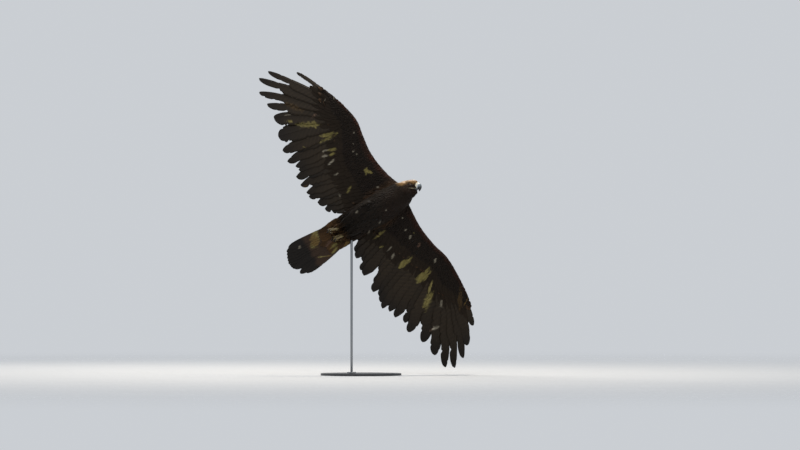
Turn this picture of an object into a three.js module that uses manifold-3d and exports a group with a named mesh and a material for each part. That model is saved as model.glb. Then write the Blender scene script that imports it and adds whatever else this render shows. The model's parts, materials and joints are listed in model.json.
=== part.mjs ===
// A golden eagle in a steep banked turn, life size, on a plain display stand.
// Millimetres, +Z up. The origin is the centre of the underside of the stand's base.
// The bird is modelled in its own frame (x to the bill, y to its left, z to its back), and one group
// banks it: its belly faces -Y, its bill points up and to +X, its left wing hangs towards the floor.
import * as THREE from "three";
import { mergeVertices } from "three/addons/utils/BufferGeometryUtils.js";
import Module from "manifold-3d";

const wasm = await Module();
wasm.setup();

// Driving dimensions
const GAP = 0.35; // between neighbouring nodes
const CLIMB_DEG = 30.6; // the body's line above the horizon
const BODY_HEIGHT = 925; // the middle of the body above the floor
const BODY_FROM_BASE = 62; // the middle of the body past the base's centre, towards +X
const VANE_THICK = 0.7;
const WELDS = [0.01, 0.02, 0.035, 0.05, 0.08]; // details this small are closed up after the cuts
const FLATTEST = 0.001; // the least height of a triangle in a finished solid
const FLIGHT_PITCH = 0.085; // rise of a flight feather for each mm towards its leading edge
const WING_ROOT_HEIGHT = 34; // the wing's middle surface above the body's middle
const TAIL_HEIGHT = 8;

const v2 = (x, y) => new THREE.Vector2(x, y);
const v3 = (x, y, z) => new THREE.Vector3(x, y, z);
const lerp = THREE.MathUtils.lerp;

// A seeded random number from -1 to 1, the same on every run.
let seed = 20261125;
function jitter() {
  seed = (seed * 1664525 + 1013904223) % 4294967296;
  return (seed / 4294967296) * 2 - 1;
}

// Solids: a closed geometry as a manifold, and a manifold as a geometry.
function solid(geometry) {
  const bare = geometry.clone();
  bare.deleteAttribute("normal");
  bare.deleteAttribute("uv");
  const merged = mergeVertices(bare, 1e-4);
  const made = new wasm.Manifold(
    new wasm.Mesh({
      numProp: 3,
      vertProperties: merged.attributes.position.array,
      triVerts: new Uint32Array(merged.index.array),
    }),
  );
  if (made.volume() <= 0) throw new Error("a piece is inside out");
  return made;
}

// The least height of any triangle in a mesh.
function flattest(mesh) {
  const corner = (i) => v3(...mesh.vertProperties.subarray(3 * i, 3 * i + 3));
  let least = Infinity;
  for (let i = 0; i < mesh.triVerts.length; i += 3) {
    const [a, b, c] = [0, 1, 2].map((k) => corner(mesh.triVerts[i + k]));
    const longest = Math.max(a.distanceTo(b), b.distanceTo(c), c.distanceTo(a));
    least = Math.min(least, b.sub(a).cross(c.sub(a)).length() / longest);
  }
  return least;
}

// Cuts leave slivers, so each solid is closed up by a growing amount until none is left.
function geometryOf(manifold) {
  const tries = WELDS.map((weld) => manifold.asOriginal().simplify(weld).getMesh());
  const mesh = tries.find((m) => flattest(m) > FLATTEST);
  if (!mesh) throw new Error("a solid keeps a sliver of " + Math.max(...tries.map(flattest)));
  const geometry = new THREE.BufferGeometry();
  geometry.setAttribute("position", new THREE.BufferAttribute(mesh.vertProperties, 3));
  geometry.setIndex(new THREE.BufferAttribute(mesh.triVerts, 1));
  geometry.computeVertexNormals();
  return geometry;
}

const union = (pieces) => wasm.Manifold.union(pieces);

function largest(manifold) {
  return manifold.decompose().reduce((a, b) => (a.volume() > b.volume() ? a : b));
}

function indexed(points, faces) {
  const geometry = new THREE.BufferGeometry().setFromPoints(points);
  geometry.setIndex(faces);
  return geometry;
}

// A closed skin over rings of equal count. Each ring turns to the left seen against the direction of travel.
function skinOver(rings) {
  const count = rings[0].length;
  const points = rings.flat();
  const faces = [];
  for (let i = 0; i < rings.length - 1; i++)
    for (let j = 0; j < count; j++) {
      const a = i * count + j;
      const b = i * count + ((j + 1) % count);
      faces.push(a, b, b + count, a, b + count, a + count);
    }
  const last = (rings.length - 1) * count;
  for (let j = 1; j < count - 1; j++) {
    faces.push(0, j + 1, j);
    faces.push(last, last + j, last + j + 1);
  }
  return indexed(points, faces);
}

// An oval ring: half its width along side, and its reach above and below along up.
function oval(centre, side, up, half, top, bottom, count) {
  const ring = [];
  for (let i = 0; i < count; i++) {
    const angle = (2 * Math.PI * i) / count;
    const reach = Math.sin(angle) > 0 ? top : bottom;
    ring.push(
      centre
        .clone()
        .addScaledVector(side, half * Math.cos(angle))
        .addScaledVector(up, reach * Math.sin(angle)),
    );
  }
  return ring;
}

// A smooth function through rows [x, a, b, ...], as an array of the columns after x.
function through(rows) {
  const slope = (i, c) => {
    const before = rows[Math.max(i - 1, 0)];
    const after = rows[Math.min(i + 1, rows.length - 1)];
    return (after[c] - before[c]) / (after[0] - before[0]);
  };
  return (x) => {
    let i = 0;
    while (i < rows.length - 2 && x > rows[i + 1][0]) i++;
    const [p, q] = [rows[i], rows[i + 1]];
    const h = q[0] - p[0];
    const t = THREE.MathUtils.clamp((x - p[0]) / h, 0, 1);
    return p.slice(1).map((_, k) => {
      const c = k + 1;
      const [t2, t3] = [t * t, t * t * t];
      return (
        (2 * t3 - 3 * t2 + 1) * p[c] +
        (t3 - 2 * t2 + t) * h * slope(i, c) +
        (3 * t2 - 2 * t3) * q[c] +
        (t3 - t2) * h * slope(i + 1, c)
      );
    });
  };
}

// A tube of oval section along a smooth curve. radii gives [across, other way] for t from 0 to 1, and
// across follows y as far as the curve lets it.
function tube(points, radii, { sides = 8, steps = 6, from = 0, to = 1 } = {}) {
  const curve = new THREE.CatmullRomCurve3(points);
  const rings = [];
  for (let i = 0; i <= steps; i++) {
    const t = lerp(from, to, i / steps);
    const ahead = curve.getTangent(t);
    const side = v3(0, 1, 0).addScaledVector(ahead, -ahead.y).normalize();
    const up = ahead.clone().cross(side);
    const [wide, high] = radii(t);
    rings.push(oval(curve.getPoint(t), side, up, wide, high, high, sides));
  }
  return solid(skinOver(rings));
}

function ellipsoid(centre, radii, { sides = 16, rows = 8, turn = 0 } = {}) {
  const geometry = new THREE.SphereGeometry(1, sides, rows);
  geometry.scale(...radii);
  geometry.rotateY(turn);
  geometry.translate(centre.x, centre.y, centre.z);
  return solid(geometry);
}

// Vanes: a feather or covert as a thin blade on a curved wing or tail surface.
// place(out, forward, height) carries a point of that surface into the bird's frame. outer and inner
// give the width of the two webs at t from 0 to 1, lift the height, pitch the rise towards the outer web.
function vane(place, mirrored, { root, tip, bend, outer, inner, lift, pitch, stations, columns }) {
  const chord = tip.clone().sub(root);
  const across = v2(-chord.y, chord.x).normalize();
  const middle = root.clone().lerp(tip, 0.5).addScaledVector(across, bend);
  const curve = new THREE.QuadraticBezierCurve(root, middle, tip);
  const tops = [];
  const bottoms = [];
  for (const t of stations) {
    const at = curve.getPoint(t);
    const ahead = curve.getTangent(t);
    const side = v2(-ahead.y, ahead.x);
    const reaches = columns === 3 ? [outer(t), 0, -inner(t)] : [outer(t), -inner(t)];
    for (const reach of reaches) {
      const p = at.clone().addScaledVector(side, reach);
      const height = lift(t) + pitch * reach;
      tops.push(place(p.x, p.y, height + VANE_THICK / 2));
      bottoms.push(place(p.x, p.y, height - VANE_THICK / 2));
    }
  }
  const n = columns;
  const under = tops.length;
  const faces = [];
  for (let i = 0; i < stations.length - 1; i++)
    for (let j = 0; j < n - 1; j++) {
      const a = i * n + j;
      const [b, c, d] = [a + 1, a + n + 1, a + n];
      faces.push(a, c, b, a, d, c);
      faces.push(a + under, b + under, c + under, a + under, c + under, d + under);
    }
  const rim = [];
  for (let j = 0; j < n; j++) rim.push(j);
  for (let i = 1; i < stations.length; i++) rim.push(i * n + n - 1);
  for (let j = n - 2; j >= 0; j--) rim.push((stations.length - 1) * n + j);
  for (let i = stations.length - 2; i > 0; i--) rim.push(i * n);
  for (let k = 0; k < rim.length; k++) {
    const a = rim[k];
    const b = rim[(k + 1) % rim.length];
    faces.push(a, b, b + under, a, b + under, a + under);
  }
  if (mirrored) faces.reverse();
  return solid(indexed(tops.concat(bottoms), faces));
}

// Share of a web's full width at t: it widens from the quill, narrows past its notch to slot, and ends round.
function webShare(t, notch, slot) {
  const opened = lerp(0.45, 1, THREE.MathUtils.smoothstep(t, 0, 0.3));
  const slotted = lerp(1, slot, THREE.MathUtils.smoothstep(t, notch - 0.06, notch + 0.07));
  const pastRound = THREE.MathUtils.clamp((t - 0.84) / 0.16, 0, 1);
  const round = Math.sqrt(1 - pastRound * pastRound);
  return opened * slotted * Math.max(round, 0.22);
}
const covertShare = through([[0, 0.7], [0.55, 1], [0.85, 0.82], [1, 0.3]]);
const FLIGHT_STATIONS = [0, 0.35, 0.75, 0.93, 1];
const FINGER_STATIONS = [0, 0.3, 0.62, 0.77, 0.88, 0.96, 1];
const COVERT_STATIONS = [0, 0.55, 0.85, 1];

// Trunk and neck: [x, middle y, half width, height of the back, depth of the belly]
const TRUNK = through([
  [-236, 4, 46, 15, 12],
  [-212, 4, 68, 22, 20],
  [-180, 3, 80, 33, 36],
  [-150, 3, 87, 44, 56],
  [-90, 0, 90, 54, 80],
  [-30, 0, 90, 60, 97],
  [40, 0, 92, 64, 106],
  [100, -1, 91, 62, 100],
  [150, -3, 84, 56, 84],
  [185, -4, 78, 50, 68],
  [212, -6, 70, 46, 56],
  [236, -11, 54, 42, 48],
  [248, -12, 41, 31, 38],
  [257, -13, 24, 18, 22],
  [262, -13, 8, 6, 8],
]);
const TRUNK_STATIONS = [
  -236, -222, -200, -175, -145, -100, -50, 0, 50, 100, 145, 180, 205, 225, 239, 250, 258, 262,
];

function trunk(grow) {
  const rings = TRUNK_STATIONS.map((x, i) => {
    const [middle, half, back, belly] = TRUNK(x);
    const end = i === 0 ? -grow : i === TRUNK_STATIONS.length - 1 ? grow : 0;
    return oval(v3(x + end, middle, 0), v3(0, 1, 0), v3(0, 0, 1), half + grow, back + grow, belly + grow, 22);
  });
  return solid(skinOver(rings));
}

// Head: kept level while the body banks, turned a little to the side and rolled back.
const HEAD_AT = v3(274, -16, 5);
const HEAD_YAW = THREE.MathUtils.degToRad(33);
const HEAD_ROLL = THREE.MathUtils.degToRad(16);
const EYE_AT = v3(5, 24.5, 4);
const EYE_RADIUS = 10;
const climb = THREE.MathUtils.degToRad(CLIMB_DEG);
const levelAhead = v3(Math.cos(climb), Math.sin(climb), 0);
const levelUp = v3(Math.sin(climb), -Math.cos(climb), 0);

function headFrame() {
  const ahead = levelAhead.clone().multiplyScalar(Math.cos(HEAD_YAW));
  ahead.addScaledVector(v3(0, 0, 1), -Math.sin(HEAD_YAW));
  const levelLeft = levelUp.clone().cross(ahead);
  const up = levelUp.clone().multiplyScalar(Math.cos(HEAD_ROLL));
  up.addScaledVector(levelLeft, Math.sin(HEAD_ROLL));
  const left = up.clone().cross(ahead);
  return new THREE.Matrix4().makeBasis(ahead, left, up).setPosition(HEAD_AT);
}

// [x, half width, height of the crown, depth of the throat], from the nape to the face
const SKULL = through([
  [-76, 24, 14, 32],
  [-62, 38, 26, 54],
  [-40, 43, 33, 73],
  [-14, 39, 37, 77],
  [2, 33, 37, 68],
  [16, 26, 34, 58],
  [27, 18, 29, 48],
  [36, 10, 20, 33],
]);
const SKULL_STATIONS = [-76, -64, -48, -30, -14, -2, 8, 18, 27, 36];

function skull(grow) {
  const rings = SKULL_STATIONS.map((x) => {
    const [half, crown, throat] = SKULL(x);
    return oval(v3(x, 0, 0), v3(0, 1, 0), v3(0, 0, 1), half + grow, crown + grow, throat + grow, 18);
  });
  return solid(skinOver(rings));
}

// The bill's own lines, in the head's frame: [x, z] of its middle, then half width and half height
const billLine = [
  v3(20, 0, 2), v3(37, 0, 3), v3(48, 0, 0.5), v3(54, 0, -8), v3(55, 0, -18), v3(52.5, 0, -29),
];
const billRadii = (grow) => (t) => {
  const [wide, high] = through([
    [0, 16, 19], [0.3, 12.5, 17], [0.52, 8.5, 12.5], [0.72, 5.5, 8], [0.9, 2.6, 4], [1, 0.7, 1],
  ])(t);
  return [wide + grow, high + grow];
};
const lowerLine = [v3(18, 0, -22), v3(34, 0, -21), v3(47, 0, -18)];
const lowerRadii = (t) => through([[0, 12.5, 7], [0.5, 9, 5.5], [0.85, 5, 3.6], [1, 2.2, 1.6]])(t);
const CERE_END = 39;

function headPieces() {
  const skin = [skull(0)];
  for (const side of [1, -1]) {
    skin.push(ellipsoid(v3(8, side * 23, 14.5), [20, 10.5, 4.8], { sides: 12, rows: 6, turn: 0.16 }));
    const lid = new THREE.TorusGeometry(8.6, 1.9, 5, 13);
    lid.rotateX(Math.PI / 2);
    lid.rotateZ(side * -0.22);
    lid.translate(EYE_AT.x + 1, side * (EYE_AT.y + 6.2), EYE_AT.z);
    skin.push(solid(lid));
    skin.push(
      tube([v3(30, side * 14, -16), v3(16, side * 25.5, -17), v3(-4, side * 34, -19)], () => [2.6, 1.9], {
        sides: 6,
        steps: 4,
      }),
    );
  }
  const hollows = [];
  const eyes = {};
  for (const [name, side] of [["left", 1], ["right", -1]]) {
    const at = v3(EYE_AT.x, side * EYE_AT.y, EYE_AT.z);
    eyes[name] = ellipsoid(at, [EYE_RADIUS, EYE_RADIUS, EYE_RADIUS], { sides: 12, rows: 8 });
    const socket = EYE_RADIUS + GAP;
    hollows.push(ellipsoid(at, [socket, socket, socket], { sides: 12, rows: 8 }));
    const mouth = tube(
      [v3(36, side * 15, -15.5), v3(16, side * 28, -16.5), v3(-7, side * 37, -19)],
      () => [1.6, 0.5],
      { sides: 6, steps: 4 },
    );
    hollows.push(mouth);
  }
  const upper = tube(billLine, billRadii(0), { sides: 14, steps: 11 });
  const upperCut = tube(billLine, billRadii(GAP), { sides: 14, steps: 11 });
  const lower = tube(lowerLine, lowerRadii, { sides: 10, steps: 4 });
  const lowerCut = tube(lowerLine, (t) => lowerRadii(t).map((r) => r + GAP), { sides: 10, steps: 4 });
  let cere = upper.trimByPlane([-1, 0, 0], -(CERE_END - GAP / 2)).trimByPlane([1, 0, 0], 21);
  for (const side of [1, -1]) {
    const nostril = ellipsoid(v3(33, side * 13.2, 8), [3.4, 2.8, 2.1], { sides: 8, rows: 6 });
    cere = cere.subtract(nostril);
  }
  return {
    skin: union(skin),
    hollows: union([...hollows, upperCut, lowerCut]),
    cere,
    bill_upper: upper.trimByPlane([1, 0, 0], CERE_END + GAP / 2),
    bill_lower: lower.subtract(upperCut).trimByPlane([1, 0, 0], 20),
    eyes,
  };
}

// Wings. out is the distance from the body's middle plane, forward is the bird's x.
// lead and rear are the front and back edges of the feathered arm, roots the line of the quills from the
// body outwards. ends are the secondaries' ends between the two outs, and tips those of the primaries.
const SECONDARIES = 13;
const PRIMARIES = 10;
const FLIGHT_FEATHERS = SECONDARIES + PRIMARIES;
const WINGS = {
  left: {
    side: 1,
    rise: 0.11,
    lead: through([[50, 202], [200, 196], [330, 215], [440, 241], [580, 239], [690, 224], [745, 212]]),
    rear: through([[50, -48], [220, 20], [340, 62], [440, 108], [560, 104], [660, 150], [745, 200]]),
    roots: through([[0, 98, 20], [6, 225, 80], [12, 412, 158], [13, 444, 168], [22, 650, 212]]),
    outs: [103, 535],
    ends: [-150, -196, -209, -186, -222, -222, -160, -199, -224, -206, -217, -226, -208],
    tips: [
      [580, -204], [628, -186], [690, -168], [780, -127], [869, -108],
      [963, -92], [1001, -44], [977, 27], [925, 80], [843, 167],
    ],
    hand: 738,
  },
  right: {
    side: -1,
    rise: 0.15,
    lead: through([
      [50, 218], [150, 189], [290, 171], [400, 182], [500, 197], [620, 175], [700, 147], [770, 118],
    ]),
    rear: through([
      [50, -48], [220, -22], [340, -20], [440, 34], [520, 72], [620, 62], [700, 90], [770, 108],
    ]),
    roots: through([[0, 100, 15], [6, 250, 66], [12, 450, 126], [13, 482, 132], [22, 690, 134]]),
    outs: [130, 452],
    ends: [-190, -211, -228, -226, -250, -258, -246, -262, -268, -256, -266, -256, -266],
    tips: [
      [500, -266], [540, -246], [580, -250], [650, -238], [757, -203],
      [844, -199], [926, -204], [996, -164], [1004, -99], [914, 38],
    ],
    hand: 757,
  },
};
const ROOT_THICK = 50;
const WRIST_THICK = 32;
const HAND_THICK = 13;
// The primaries' webs from the innermost, and how much of a web is left past its notch
const OUTER_WEBS = [21, 21, 22, 24, 24, 18, 16, 15, 14, 9];
const INNER_WEBS = [46, 48, 50, 56, 56, 52, 50, 48, 46, 26];
const SLOTS = [1, 1, 1, 0.85, 0.72, 0.52, 0.46, 0.44, 0.46, 0.6];
const NOTCH = 0.69;

// Height of the wing's middle surface: a shallow V that curls up towards the tips, and falls a little aft.
function wingHeight(wing, out, forward) {
  const curl = Math.max(out - 520, 0);
  const aft = Math.max(wing.lead(Math.min(out, 740))[0] - forward, 0);
  return WING_ROOT_HEIGHT + wing.rise * (out - 80) + 0.00034 * curl * curl - 0.035 * aft;
}

const placeOnWing = (wing) => (out, forward, height) =>
  v3(forward, wing.side * out, wingHeight(wing, out, forward) + height);

// The arm and hand as one aerofoil, section by section, front edge to the row of coverts.
function wingCore(wing) {
  const place = placeOnWing(wing);
  const outline = [
    [0, 0], [0.06, 0.6], [0.24, 1], [0.52, 0.9], [0.8, 0.52], [1, 0.16],
    [1, -0.16], [0.8, -0.52], [0.52, -0.9], [0.24, -1], [0.06, -0.6],
  ];
  const rings = [];
  const thick = through([[50, ROOT_THICK], [440, WRIST_THICK], [wing.hand - 50, HAND_THICK], [wing.hand, 4]]);
  for (let i = 0; i <= 13; i++) {
    const out = lerp(50, wing.hand, i / 13);
    const [front] = wing.lead(out);
    const [back] = wing.rear(out);
    const [depth] = thick(out);
    const ring = outline.map(([share, part]) => place(out, lerp(front, back, share), (part * depth) / 2));
    rings.push(wing.side < 0 ? ring : ring.reverse());
  }
  return solid(skinOver(rings));
}

// Flight feather k, from 0 beside the body to 22 at the leading edge of the hand.
function flightLine(wing, k) {
  const root = v2(...wing.roots(k));
  if (k >= SECONDARIES) return { root, tip: v2(...wing.tips[Math.floor(k) - SECONDARIES]) };
  const share = k / (SECONDARIES - 1);
  const end = wing.ends[Math.floor(k)];
  return { root, tip: v2(lerp(...wing.outs, share), end) };
}

function flightFeather(wing, k) {
  const p = k - SECONDARIES;
  const outer = p < 0 ? 22 : OUTER_WEBS[p];
  const inner = p < 0 ? 42 : INNER_WEBS[p];
  const slot = p < 0 ? 1 : SLOTS[p];
  return vane(placeOnWing(wing), wing.side < 0, {
    ...flightLine(wing, k),
    bend: p < 4 ? 5 : 12,
    outer: (t) => outer * webShare(t, NOTCH, slot),
    inner: (t) => inner * webShare(t, NOTCH, slot),
    lift: () => 0,
    pitch: FLIGHT_PITCH,
    stations: slot < 0.8 ? FINGER_STATIONS : FLIGHT_STATIONS,
    columns: 3,
  });
}

// A row of coverts along the arm's rear edge, above (face 1) or below (face -1) the flight feathers.
const COVERT_ROWS = [
  { count: 16, ahead: 30, reach: 92, half: 25, height: 7.5, drop: 6.2 },
  { count: 14, ahead: 75, reach: 10, half: 25, height: 14, drop: 10.5 },
];

function covert(wing, face, row, share) {
  const k = lerp(0, FLIGHT_FEATHERS - 1, share);
  const { root, tip } = flightLine(wing, Math.round(k));
  const aim = tip.sub(root).normalize();
  const out = lerp(92, wing.hand - 45, share);
  const rearAt = v2(out, wing.rear(out)[0]);
  const slim = share > 0.85 ? 0.7 : 1;
  return vane(placeOnWing(wing), wing.side < 0, {
    root: rearAt.clone().addScaledVector(aim, -row.ahead),
    tip: rearAt.clone().addScaledVector(aim, row.reach + 7 * jitter()),
    bend: 2,
    outer: (t) => row.half * 0.85 * slim * covertShare(t)[0],
    inner: (t) => row.half * 1.15 * slim * covertShare(t)[0],
    lift: (t) => face * lerp(row.height, row.drop, t),
    pitch: FLIGHT_PITCH * 0.6,
    stations: COVERT_STATIONS,
    columns: 2,
  });
}

function wingPieces(wing, bodyCut) {
  const vanes = { inner: [], outer: [] };
  for (let k = 0; k < FLIGHT_FEATHERS; k++) {
    vanes[k < SECONDARIES ? "inner" : "outer"].push(flightFeather(wing, k));
  }
  for (const face of [1, -1])
    for (const row of COVERT_ROWS)
      for (let i = 0; i < row.count; i++) {
        const share = i / (row.count - 1);
        const near = share * (FLIGHT_FEATHERS - 1) < SECONDARIES - 0.5;
        vanes[near ? "inner" : "outer"].push(covert(wing, face, row, share));
      }
  const core = wingCore(wing);
  const [a, b] = [flightLine(wing, SECONDARIES - 1), flightLine(wing, SECONDARIES)];
  const from = a.root.lerp(b.root, 0.5);
  const to = a.tip.lerp(b.tip, 0.5);
  const along = to.sub(from).normalize();
  const normal = [along.x, wing.side * -along.y, 0];
  const offset = from.y * normal[0] + wing.side * from.x * normal[1];
  const back = normal.map((n) => -n);
  const inner = union([core, ...vanes.inner]).trimByPlane(back, -(offset - GAP / 2)).subtract(bodyCut);
  const outer = union([core, ...vanes.outer]).trimByPlane(normal, offset + GAP / 2);
  return { inner: largest(inner), outer: largest(outer) };
}

// Tail: twelve feathers in two halves beside a middle line, with a gap on the left, and coverts.
const TAIL_MIDDLE_ROOT = 3;
const TAIL_MIDDLE_TIP = 11;
const TAIL = {
  left: { side: 1, tips: [[7, -554], [18, -553], [29, -549], [38, -540], [76, -527], [90, -496]] },
  right: { side: -1, tips: [[6, -556], [20, -552], [35, -547], [51, -539], [67, -531], [80, -512]] },
};

const placeOnTail = (side, extra) => (out, forward, height) => {
  const middle = lerp(TAIL_MIDDLE_ROOT, TAIL_MIDDLE_TIP, (-185 - forward) / 365);
  return v3(forward, middle + side * out, TAIL_HEIGHT + extra - 0.0007 * out * out + height);
};

function tailPiece(bodyCut) {
  const pieces = [ellipsoid(v3(-215, 4, TAIL_HEIGHT), [52, 68, 13], { sides: 20, rows: 8 })];
  for (const half of [TAIL.left, TAIL.right]) {
    const place = placeOnTail(half.side, half.side > 0 ? 4.5 : 0);
    half.tips.forEach(([out, forward], i) => {
      pieces.push(
        vane(place, half.side < 0, {
          root: v2(4 + i * 6.5, -188),
          tip: v2(out, forward),
          bend: 3,
          outer: (t) => 20 * webShare(t, NOTCH, 1),
          inner: (t) => 24 * webShare(t, NOTCH, 1),
          lift: () => -1.5 * i,
          pitch: 0.07,
          stations: FLIGHT_STATIONS,
          columns: 3,
        }),
      );
    });
    const rows = [
      { face: -1, count: 5, start: -210, end: -338, spread: 14.5, height: 12 },
      { face: -1, count: 4, start: -200, end: -282, spread: 18, height: 14 },
      { face: 1, count: 4, start: -205, end: -300, spread: 18, height: 14 },
    ];
    for (const row of rows)
      for (let i = 0; i < row.count; i++)
        pieces.push(
          vane(place, half.side < 0, {
            root: v2(3 + i * row.spread * 0.9, row.start),
            tip: v2(4 + i * row.spread, row.end + 7 * i + 5 * jitter()),
            bend: 2,
            outer: (t) => 16 * covertShare(t)[0],
            inner: (t) => 18 * covertShare(t)[0],
            lift: (t) => row.face * lerp(row.height - 3, row.height - 4, t) - i * 1.2,
            pitch: 0.06,
            stations: COVERT_STATIONS,
            columns: 2,
          }),
        );
  }
  return largest(union(pieces).subtract(bodyCut));
}

// Legs lie back along the belly, their toes half closed under the tail.
const LEGS = { left: { side: 1, middle: 3 }, right: { side: -1, middle: 1 } };
const ANKLE_X = -212;
const TOES = [
  { lean: 0.34, length: 60, start: 6 },
  { lean: 0.02, length: 68, start: 0 },
  { lean: -0.3, length: 58, start: -6 },
  { lean: 0.1, length: 50, start: 2, hind: true },
];
const TALON_SHARE = 0.56; // where along a digit its talon starts

function leg({ side, middle }) {
  const line = [
    v3(60, side * 44, -40),
    v3(0, side * 50, -66),
    v3(-80, side * 45, -70),
    v3(-150, side * 33, -58),
    v3(ANKLE_X, middle + side * 24, -47),
  ];
  const radii = (t) => through([[0, 20, 20], [0.3, 33, 32], [0.5, 32, 28], [0.75, 20, 18], [1, 10, 10]])(t);
  return tube(line, radii, { sides: 14, steps: 9 });
}

function digit({ side, middle }, toe) {
  const y = middle + side * (24 + toe.start);
  const z = toe.hind ? -56 : -46;
  const droop = toe.hind ? -12 : 4;
  const reach = toe.length;
  return [
    v3(ANKLE_X - 5, y, z),
    v3(ANKLE_X - reach * 0.45, y + side * toe.lean * reach * 0.4, z + droop * 0.6),
    v3(ANKLE_X - reach * 0.9, y + side * toe.lean * reach * 0.8, z + droop * 0.2),
    v3(ANKLE_X - reach * 1.18, y + side * toe.lean * reach, z - 16),
  ];
}

function footPieces(limb) {
  const sole = v3(ANKLE_X - 5, limb.middle + limb.side * 24, -49);
  const pad = ellipsoid(sole, [12, 12, 10], { sides: 12, rows: 8 });
  const toes = [pad];
  const talons = [];
  for (const toe of TOES) {
    const line = digit(limb, toe);
    const size = (t) => [7 - 2.6 * t, 6.6 - 2.4 * t];
    toes.push(tube(line, size, { sides: 8, steps: 4, from: 0, to: TALON_SHARE }));
    const sharpness = (t) => {
      const rest = (1 - t) / (1 - TALON_SHARE);
      return [0.3 + 4.4 * rest ** 0.8, 0.3 + 4.8 * rest ** 0.8];
    };
    talons.push(tube(line, sharpness, { sides: 7, steps: 4, from: TALON_SHARE + 0.008, to: 1 }));
  }
  return { toes: union(toes), talons };
}

// Stand: a round base and one rod up to the body's flank, beside the tail.
const BASE_RADIUS = 230;
const BASE_THICK = 12;
const ROD_RADIUS = 7;
const ROD_X = -116; // from the middle of the body
const ROD_Y = -12;

function standBase() {
  const bevel = 3;
  const outline = [
    v2(0, 0),
    v2(BASE_RADIUS - 3, 0),
    v2(BASE_RADIUS, 3),
    v2(BASE_RADIUS, BASE_THICK - bevel),
    v2(BASE_RADIUS - bevel, BASE_THICK),
    v2(0, BASE_THICK),
  ];
  return new THREE.LatheGeometry(outline, 40).rotateX(Math.PI / 2);
}

const COLLAR_RADIUS = 26;
const COLLAR_THICK = 7;

const upright = (outline, sides) =>
  new THREE.LatheGeometry(outline, sides).rotateX(Math.PI / 2).translate(BODY_FROM_BASE + ROD_X, ROD_Y, 0);

function standRod(bodyInWorld) {
  const low = BASE_THICK + GAP;
  const high = BODY_HEIGHT - 60;
  const rod = solid(upright([v2(0, low), v2(ROD_RADIUS, low), v2(ROD_RADIUS, high), v2(0, high)], 20));
  return largest(rod.subtract(bodyInWorld));
}

function standCollar() {
  const low = BASE_THICK + GAP;
  const bore = ROD_RADIUS + GAP;
  const rim = [
    v2(bore, low),
    v2(COLLAR_RADIUS, low),
    v2(COLLAR_RADIUS, low + COLLAR_THICK - 2),
    v2(COLLAR_RADIUS - 2, low + COLLAR_THICK),
    v2(bore, low + COLLAR_THICK),
    v2(bore, low),
  ];
  return upright(rim, 20);
}

// Materials
function finish(color, roughness, metalness = 0) {
  return new THREE.MeshStandardMaterial({ color, roughness, metalness });
}
const plumage = finish("#33261a", 0.8);
const nape = finish("#8a5f30", 0.8);
const flight = finish("#3a3024", 0.7);
const horn = finish("#4a5058", 0.35);
const waxy = finish("#c9a338", 0.5);
const claw = finish("#17161a", 0.3);
const eyeGlass = finish("#5a3210", 0.1);
const lacquer = finish("#26272a", 0.5, 0.6);
const steel = finish("#2b2c2e", 0.4, 0.8);

const eagle = new THREE.Group();
const bird = new THREE.Group();
const bankFrame = new THREE.Matrix4().makeBasis(
  v3(Math.cos(climb), 0, Math.sin(climb)),
  v3(Math.sin(climb), 0, -Math.cos(climb)),
  v3(0, 1, 0),
);
bird.quaternion.setFromRotationMatrix(bankFrame);
bird.position.set(BODY_FROM_BASE, 0, BODY_HEIGHT);
eagle.add(bird);

function add(parent, name, geometry, material) {
  const mesh = new THREE.Mesh(geometry, material);
  mesh.name = name;
  parent.add(mesh);
}
const addSolid = (parent, name, manifold, material) => add(parent, name, geometryOf(manifold), material);

// The trunk, the neck and the head are one form, parted with two thin flat cuts.
const toBird = headFrame();
const inBird = (manifold) => manifold.transform(toBird.elements);
const face = headPieces();
const wholeBody = union([trunk(0), inBird(face.skin)]).subtract(inBird(face.hollows));
const headAhead = v3(0.9, 0.25, 0);
const cuts = [
  { normal: v3(1, 0, 0), offset: 178 },
  { normal: headAhead.clone().normalize(), offset: 222 },
];
const keepAbove = (m, { normal, offset }) => m.trimByPlane(normal.toArray(), offset + GAP / 2);
const keepBelow = (m, { normal, offset }) =>
  m.trimByPlane(normal.clone().negate().toArray(), -(offset - GAP / 2));
const torso = largest(keepBelow(wholeBody, cuts[0]));
const neck = largest(keepBelow(keepAbove(wholeBody, cuts[0]), cuts[1]));
const head = largest(keepAbove(wholeBody, cuts[1]));
const bodyCut = union([trunk(GAP), inBird(skull(GAP))]);

addSolid(bird, "torso", torso, plumage);
addSolid(bird, "neck", neck, nape);
addSolid(bird, "head", head, nape);
addSolid(bird, "cere", inBird(face.cere), waxy);
addSolid(bird, "bill_upper", inBird(face.bill_upper), horn);
addSolid(bird, "bill_lower", inBird(face.bill_lower), horn);
for (const side of ["left", "right"]) addSolid(bird, `eye_${side}`, inBird(face.eyes[side]), eyeGlass);

for (const side of ["left", "right"]) {
  const wing = wingPieces(WINGS[side], bodyCut);
  addSolid(bird, `wing_${side}_inner`, wing.inner, flight);
  addSolid(bird, `wing_${side}_outer`, wing.outer, flight);
}
addSolid(bird, "tail", tailPiece(bodyCut), flight);

for (const side of ["left", "right"]) {
  const limb = LEGS[side];
  const { toes, talons } = footPieces(limb);
  const whole = union([leg(limb).subtract(bodyCut)]);
  addSolid(bird, `leg_${side}`, largest(whole.trimByPlane([1, 0, 0], ANKLE_X + GAP / 2 + 8)), plumage);
  addSolid(bird, `foot_${side}`, largest(toes.trimByPlane([-1, 0, 0], -(ANKLE_X - GAP / 2 + 8))), waxy);
  talons.forEach((talon, i) => addSolid(bird, `talon_${side}_${i + 1}`, talon, claw));
}

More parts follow.
